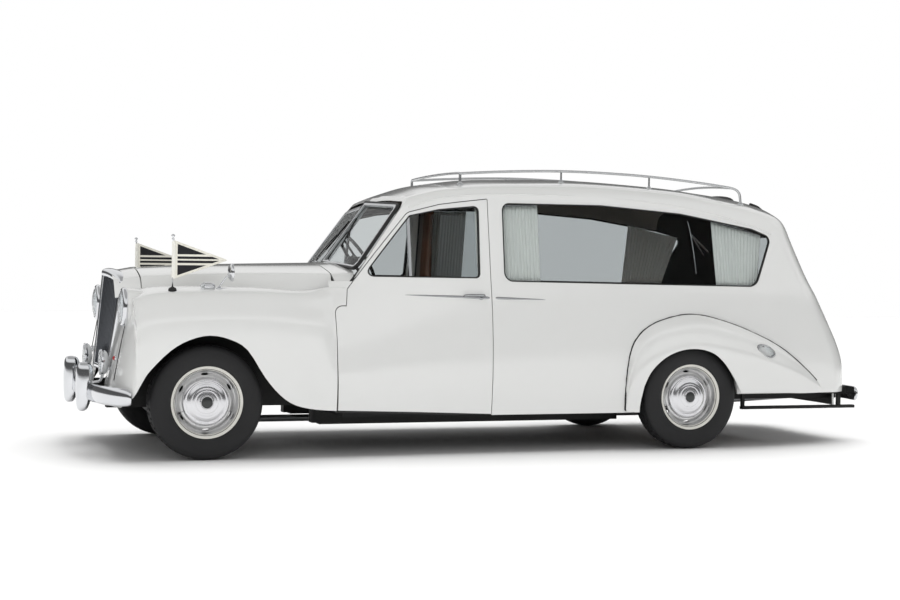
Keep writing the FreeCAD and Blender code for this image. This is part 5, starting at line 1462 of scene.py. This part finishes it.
def pennant(side, hand):
    """A pennant: a thin triangle of cloth with a slight wave, its hoist sewn round the staff."""
    long, tall = sizes().pennant_length / MM, sizes().pennant_height / MM
    bm = bmesh.new()
    bmesh.ops.create_grid(bm, x_segments=56, y_segments=36, size=0.5)
    layer = bm.loops.layers.uv.new("flag")
    for face in bm.faces:
        for loop in face.loops:
            loop[layer].uv = (loop.vert.co.x + 0.5, loop.vert.co.y + 0.5)
    for vert in bm.verts:
        u, v = vert.co.x + 0.5, vert.co.y
        height = v * tall * (1.0 - u * 0.97)
        wave = 3.2 * u * math.sin(u * 9.0 + v * 1.5)
        vert.co = at(side * (STAFF_X + wave), STAFF + u * long, 1237.5 + height + 2.5 * u)
    cloth = to_object(bm)
    add(cloth, "SOLIDIFY", thickness=CLOTH, offset=0.0)
    baked(cloth)
    named(cloth, "pennant_" + hand, "flag")
    ring = ((1, 0), (0.75, 0.7), (0, 1.3), (-0.75, 0.7), (-1, 0), (-0.75, -0.75), (0, -1.1), (0.75, -0.75))
    sleeve = rings([[at(side * STAFF_X + a * (6.2 + 0.4 * (i % 2)), STAFF + 4 + b * 11, 1115 + 245 * i / 8)
                     for a, b in ring] for i in range(9)])
    named(sleeve, "pennant_sleeve_" + hand, "cloth_white")
    if side == 1:
        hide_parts("pennants")


# ---- interior
def lining(skin, low, high, keep, cut):
    """Cloth that follows the skin on the inside."""
    return carved(offset_skin(skin, low, high, 42, 4), keep=keep, cut=cut, bevel=0.0)


CURTAIN_INSET = 53.0                # from the body's outer face to a curtain's middle
CURTAIN_TOP = 1655.0                # height above which a curtain hangs straight, not along the roof's curve


def curtain(tree, side, low, high, foot, top, name):
    """A gathered curtain just inside the body's side, from station low to high (at its foot and its top); top is
    its height at either end."""
    folds = max(6, int((high[0] - low) * MM / sizes().curtain_pitch))
    bm = bmesh.new()
    bmesh.ops.create_grid(bm, x_segments=folds * 10, y_segments=14, size=0.5)
    for vert in bm.verts:
        u, v = vert.co.x + 0.5, vert.co.y + 0.5
        end = high[0] + (high[1] - high[0]) * v
        station = low + (end - low) * u
        z = foot + (top[0] + (top[1] - top[0]) * u - foot) * v
        place, _ = on_skin(tree, station, min(z, CURTAIN_TOP), side)
        depth = sizes().curtain_depth / MM + 0.7 * math.sin(u * 13.0)
        shift = depth * math.sin(u * folds * math.tau + 0.5 * math.sin(v * 3.0 + u * 20.0))
        vert.co = place + Vector((-side * (CURTAIN_INSET + shift) * MM, 0, 0))
        vert.co.z = z * MM
    area = sum(face.calc_area() for face in bm.faces)
    cloth = to_object(bm)
    add(cloth, "SOLIDIFY", thickness=CLOTH, offset=0.0)
    baked(cloth)
    named(cloth, name, "curtain")
    return cloth


def cushion(x0, x1, ring):
    """A seat pad that carries its ring of (station, z) places from x0 to x1, sewn into channels across x."""
    depth = sizes().channel_depth / MM
    middle = sum((Vector(place) for place in ring), Vector((0, 0))) / len(ring)
    count = sizes().seat_channels * 4
    sections = []
    for i in range(count + 1):
        # deepest at a seam, flat between two seams; the ends are drawn in instead
        dip = depth if i % 4 == 0 and 0 < i < count else (0.0 if i % 4 == 2 else depth * 0.35)
        end = 0.9 if i in (0, count) else 1.0
        section = []
        for place in ring:
            away = (Vector(place) - middle) * end
            drawn = middle + away - away.normalized() * dip
            section.append(at(x0 + (x1 - x0) * i / count, drawn.x, drawn.y))
        sections.append(section)
    return rings(sections)


def build_linings():
    """Cloth on the inside of the roof, the sides and the doors."""
    skin = skin_mesh(body_rows())
    trimmed(skin, 30, False)
    above = [(1100, 770, 0), (1100, 2200, 0), (3860, 2200, 0), (3860, 770, 0)]
    roof_lining = lining(skin, 1000, 3855, [(above, "X", -1200, 1200)],
                         through_both(grown(DOOR, 8)) + through_both(grown(SIDE_WINDOW, 4)))
    named(roof_lining, "body_lining", "lining")
    for side, hand in HANDS:
        door_lining = lining(skin, 815, 1885, [through_side(grown(DOOR, -22), side)],
                             [through_side(grown(DOOR_WINDOW, 4), side)])
        named(door_lining, "door_lining_" + hand, "lining", "door_" + hand)
    bpy.data.objects.remove(skin)


# the rods' places (station, z): over and under the front curtain, over and under the rear one
CURTAIN_RODS = (((1980, 1643), (2120, 1648), (2264, 1652)), ((3608, 1582), (3820, 1545), (4040, 1494)),
                ((1980, 1131), (2120, 1131), (2264, 1131)), ((3608, 1131), (3780, 1131), (3958, 1131)))


def build_curtains():
    """Two curtains on rods at each side of the load space, and a strip at the back of each door window."""
    tree = tree_of(skin_mesh(body_rows()))
    rods = []
    for side, hand in HANDS:
        first = curtain(tree, side, 1985, (2260, 2260), 1134, (1640, 1648), "curtain_front_" + hand)
        curtain(tree, side, 3612, (3955, 4034), 1134, (1578, 1492), "curtain_rear_" + hand)
        if side == 1:
            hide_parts("curtains")
        for run in CURTAIN_RODS:
            line = [on_skin(tree, y, min(z, CURTAIN_TOP), side)[0] for y, z in run]
            line = [Vector((place.x - side * CURTAIN_INSET * MM, place.y, z * MM))
                    for place, (_, z) in zip(line, run)]
            rods.append(tube(line, 3.0, round_corners=False))
    named(joined(rods), "curtain_rods", "chrome")
    for side, hand in HANDS:
        strip = curtain(tree, side, 1812, (1876, 1876), 1156, (1618, 1622), "cab_curtain_" + hand)
        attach(strip, "door_" + hand)


def build_stay():
    """The stay inside the tail: a bent rod and the two arms of its scissor."""
    stay = [tube([at(400, 3560, 1590), at(400, 3600, 1490), at(400, 3640, 1210)], 4)]
    for ends, half in ((((3599, 1486), (3735, 1369)), 9), (((3599, 1482), (3697, 1347)), 8)):
        stay.append(hull([at(400 + a, y, z + b) for y, z in ends for a in (-4, 4) for b in (-half, half)], bevel=2))
    named(joined(stay), "tailgate_stay", "chrome")


SEAT_CUSHION = ((1312, 515), (1300, 555), (1312, 590), (1345, 604), (1480, 612), (1620, 604), (1700, 594),
                (1716, 560), (1706, 520), (1500, 506))
SEAT_BACK = ((1712, 612), (1702, 660), (1728, 850), (1762, 1020), (1776, 1100), (1800, 1124), (1838, 1118),
             (1846, 1080), (1806, 850), (1762, 640), (1742, 612))


def build_seats():
    """Two front seats, each a sewn cushion and back on a plinth."""
    for side, hand in HANDS:
        for name, ring in (("seat_cushion_", SEAT_CUSHION), ("seat_back_", SEAT_BACK)):
            pad = named(cushion(side * 68, side * 602, ring), name + hand, "leather", slot="seat_leather")
            if side == 1 and ring is SEAT_CUSHION:
                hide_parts("front_seats")
        x0, x1 = sorted((side * 95, side * 575))
        named(block(x0, x1, 1345, 1700, 340, 508, 10), "seat_plinth_" + hand, "black")


# ---- CAD nodes that stay: their finishes
NODE_MATERIALS = {
    "floor_pan": "carpet", "chassis_frame": "black", "front_suspension": "black", "rear_axle": "black",
    "engine_block": "steel", "radiator": "black", "exhaust": "steel", "inner_wings": "black", "dashboard": "wood",
    "steering_wheel": "bakelite", "partition": "wood", "partition_glass": "glass", "load_deck": "deck",
    "knuckle_left": "steel", "knuckle_right": "steel",
}


def paint_nodes():
    """Gives each CAD node that stays its material."""
    for name, key in NODE_MATERIALS.items():
        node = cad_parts[name]
        node.data.materials.clear()
        node.data.materials.append(finishes()[key])


# ---- studio
def light(name, kind, direction, power):
    """A light that shines along direction."""
    source = bpy.data.lights.new(name, kind)
    source.energy = power
    holder = linked(bpy.data.objects.new(name, source))
    holder.rotation_euler = direction.to_track_quat("-Z", "Y").to_euler()
    return holder


def build_floor():
    """The studio floor, just under the tyres."""
    bm = bmesh.new()
    bmesh.ops.create_grid(bm, x_segments=24, y_segments=24, size=30.0)
    bmesh.ops.translate(bm, vec=(0, 0, -0.0005), verts=bm.verts)
    floor = to_object(bm)
    floor.name = floor.data.name = "floor"
    floor.data.materials[0] = finishes()["floor"]
    return floor


def grey(value):
    """An opaque grey."""
    return value, value, value, 1.0


WHITE = grey(1.0)
# (height on the sky's sphere, colour): what lights the car, and what its bright metal reflects
LIGHT_STOPS = ((0.0, grey(0.42)), (0.35, grey(0.80)), (1.0, (0.84, 0.835, 0.82, 1.0)))
MIRROR_STOPS = ((0.0, grey(0.55)), (0.02, grey(0.12)), (0.26, grey(0.10)), (0.34, grey(0.80)), (0.45, grey(0.95)),
                (0.70, grey(0.90)), (0.80, grey(0.40)), (1.0, (0.50, 0.50, 0.49, 1.0)))


def build_world():
    """White to the eye; the light dims below the horizon, and reflections show a dark band above it."""
    world = bpy.data.worlds.new("studio")
    bpy.context.scene.world = world
    world.use_nodes = True
    nodes, links = world.node_tree.nodes, world.node_tree.links
    nodes.clear()
    out = nodes.new("ShaderNodeOutputWorld")
    place = nodes.new("ShaderNodeTexCoord")
    split = nodes.new("ShaderNodeSeparateXYZ")
    links.new(place.outputs["Generated"], split.inputs[0])
    ramps = []
    for stops in (LIGHT_STOPS, MIRROR_STOPS):
        ramp = nodes.new("ShaderNodeValToRGB")
        links.new(split.outputs["Z"], ramp.inputs["Fac"])
        ends = ramp.color_ramp.elements
        (_, ends[0].color), (_, ends[1].color) = stops[0], stops[-1]
        for position, shade in stops[1:-1]:
            ends.new(position).color = shade
        ramps.append(ramp.outputs["Color"])
    path = nodes.new("ShaderNodeLightPath")
    lit, mirrored, seen = [nodes.new("ShaderNodeBackground") for _ in range(3)]
    links.new(ramps[0], lit.inputs["Color"])
    links.new(ramps[1], mirrored.inputs["Color"])
    seen.inputs["Color"].default_value = WHITE
    first = nodes.new("ShaderNodeMixShader")
    links.new(path.outputs["Is Glossy Ray"], first.inputs[0])
    links.new(lit.outputs[0], first.inputs[1])
    links.new(mirrored.outputs[0], first.inputs[2])
    second = nodes.new("ShaderNodeMixShader")
    clear = maths(nodes, links, "MAXIMUM", path.outputs["Is Camera Ray"], path.outputs["Is Transmission Ray"])
    straight = maths(nodes, links, "MULTIPLY", path.outputs["Is Camera Ray"], 0.1)
    links.new(maths(nodes, links, "ADD", straight, 0.9), seen.inputs["Strength"])
    links.new(clear, second.inputs[0])
    links.new(first.outputs[0], second.inputs[1])
    links.new(seen.outputs[0], second.inputs[2])
    links.new(second.outputs[0], out.inputs["Surface"])


def build_lights(floor):
    """A broad light on the floor alone, and a soft one beside the car."""
    only_floor = bpy.data.collections.new("lit_floor")
    only_floor.objects.link(floor)
    sun = light("floor_light", "SUN", Vector((0.12, -0.16, -1.0)), sizes().floor_light)
    sun.data.angle = math.radians(50)
    sun.light_linking.receiver_collection = only_floor
    place, target = Vector((9.0, -5.0, 4.5)), Vector((0, 0, 0.7))
    key = light("key_light", "AREA", target - place, sizes().key_power)
    key.location = place
    key.data.shape = "RECTANGLE"
    key.data.size, key.data.size_y = 6.0, 4.0
    key.visible_glossy = False


def build_camera():
    """A camera to the left of the car, slightly ahead of its middle."""
    scene = bpy.context.scene
    camera = bpy.data.cameras.new("camera")
    camera.lens = 61.986
    camera.sensor_width = 36.0
    holder = bpy.data.objects.new("camera", camera)
    scene.collection.objects.link(holder)
    yaw, pitch, roll = [math.radians(angle) for angle in (20.395, 1.035, 1.011)]
    forward = Vector((-math.cos(yaw) * math.cos(pitch), math.sin(yaw) * math.cos(pitch), -math.sin(pitch)))
    right = forward.cross(Vector((0, 0, 1))).normalized()
    up = right.cross(forward)
    across = right * math.cos(roll) + up * math.sin(roll)
    above = up * math.cos(roll) - right * math.sin(roll)
    place = Matrix((across, above, -forward)).transposed().to_4x4()
    place.translation = Vector((10.297, -1.936 - MIDDLE * MM, 1.191))
    holder.matrix_world = place
    scene.camera = holder
    scene.view_settings.view_transform = "Standard"


# ---- operators
class HEARSE_OT_body(Operator):
    """Make the body shell, doors and tailgate with their glass and seals"""
    bl_idname = "hearse.body"
    bl_label = "Body, doors and tailgate"

    def execute(self, context):
        build_body()
        return {"FINISHED"}


class HEARSE_OT_panels(Operator):
    """Make the bonnet, nose, scuttle, wings and rear wheelhouses"""
    bl_idname = "hearse.panels"
    bl_label = "Bonnet and wings"

    def execute(self, context):
        build_front()
        return {"FINISHED"}


class HEARSE_OT_wheels(Operator):
    """Make the four wheels with their trim rings, hubcaps and tyres"""
    bl_idname = "hearse.wheels"
    bl_label = "Wheels and tyres"

    def execute(self, context):
        build_wheels()
        return {"FINISHED"}


class HEARSE_OT_grille(Operator):
    """Make the grille's shell, slats and middle bar"""
    bl_idname = "hearse.grille"
    bl_label = "Grille"

    def execute(self, context):
        build_grille()
        return {"FINISHED"}


class HEARSE_OT_lamps(Operator):
    """Make the headlamps, fog lamps and the small lamps beside the grille"""
    bl_idname = "hearse.lamps"
    bl_label = "Front lamps"

    def execute(self, context):
        build_lamps()
        return {"FINISHED"}


class HEARSE_OT_bumpers(Operator):
    """Make the front bumper with its over-riders and the rear bumper with its bars"""
    bl_idname = "hearse.bumpers"
    bl_label = "Bumpers"

    def execute(self, context):
        build_bumpers()
        return {"FINISHED"}


class HEARSE_OT_windscreen(Operator):
    """Make the two windscreen panes with their surround and wipers"""
    bl_idname = "hearse.windscreen"
    bl_label = "Windscreen"

    def execute(self, context):
        build_screen()
        return {"FINISHED"}


class HEARSE_OT_trim(Operator):
    """Make the side trim, door handles, piping, gutters and rear wing lamps"""
    bl_idname = "hearse.trim"
    bl_label = "Side trim and handles"

    def execute(self, context):
        build_trim()
        return {"FINISHED"}


class HEARSE_OT_roof_rail(Operator):
    """Make the rail on the roof with its posts and feet"""
    bl_idname = "hearse.roof_rail"
    bl_label = "Roof rail"

    def execute(self, context):
        build_rail()
        return {"FINISHED"}


class HEARSE_OT_wing_fittings(Operator):
    """Make the wing mirrors, side lamps, pennant staffs and pennants"""
    bl_idname = "hearse.wing_fittings"
    bl_label = "Mirrors and pennants"

    def execute(self, context):
        build_wing_fittings()
        return {"FINISHED"}


class HEARSE_OT_interior(Operator):
    """Make the linings, curtains with their rods, and front seats"""
    bl_idname = "hearse.interior"
    bl_label = "Linings, curtains and seats"

    def execute(self, context):
        build_linings()
        build_curtains()
        build_stay()
        build_seats()
        return {"FINISHED"}


class HEARSE_OT_kept_parts(Operator):
    """Give the chassis, deck, partition and other kept parts their finishes"""
    bl_idname = "hearse.kept_parts"
    bl_label = "Finishes of the kept parts"

    def execute(self, context):
        paint_nodes()
        return {"FINISHED"}


class HEARSE_OT_stage(Operator):
    """Make the floor, camera, surroundings and lights"""
    bl_idname = "hearse.stage"
    bl_label = "Studio"

    def execute(self, context):
        floor = build_floor()
        build_camera()
        build_world()
        build_lights(floor)
        return {"FINISHED"}


OPERATORS = (HEARSE_OT_body, HEARSE_OT_panels, HEARSE_OT_wheels, HEARSE_OT_grille, HEARSE_OT_lamps, HEARSE_OT_bumpers,
             HEARSE_OT_windscreen, HEARSE_OT_trim, HEARSE_OT_roof_rail, HEARSE_OT_wing_fittings, HEARSE_OT_interior,
             HEARSE_OT_kept_parts, HEARSE_OT_stage)


class HEARSE_PT_pieces(Panel):
    """Sizes, colours and pieces of the hearse"""
    bl_idname = "HEARSE_PT_pieces"
    bl_label = "Hearse"
    bl_space_type = "VIEW_3D"
    bl_region_type = "UI"
    bl_category = "Hearse"

    def draw(self, context):
        layout = self.layout
        for title, group in (("Sizes", context.scene.hearse_sizes), ("Colours", context.scene.hearse_colours)):
            box = layout.box()
            box.label(text=title)
            for key in group.__annotations__:
                box.prop(group, key)
        column = layout.column(align=True)
        for operator in OPERATORS:
            column.operator(operator.bl_idname)


CLASSES = (HearseSizes, HearseColours, *OPERATORS, HEARSE_PT_pieces)


def register():
    for cls in CLASSES:
        bpy.utils.register_class(cls)
    bpy.types.Scene.hearse_sizes = PointerProperty(type=HearseSizes)
    bpy.types.Scene.hearse_colours = PointerProperty(type=HearseColours)


def unregister():
    del bpy.types.Scene.hearse_colours
    del bpy.types.Scene.hearse_sizes
    for cls in reversed(CLASSES):
        bpy.utils.unregister_class(cls)


def main():
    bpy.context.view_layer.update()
    register()
    bpy.ops.hearse.body()
    bpy.ops.hearse.panels()
    bpy.ops.hearse.wheels()
    bpy.ops.hearse.grille()
    bpy.ops.hearse.lamps()
    bpy.ops.hearse.bumpers()
    bpy.ops.hearse.windscreen()
    bpy.ops.hearse.trim()
    bpy.ops.hearse.roof_rail()
    bpy.ops.hearse.wing_fittings()
    bpy.ops.hearse.interior()
    bpy.ops.hearse.kept_parts()
    bpy.ops.hearse.stage()


if __name__ == "__main__":
    main()
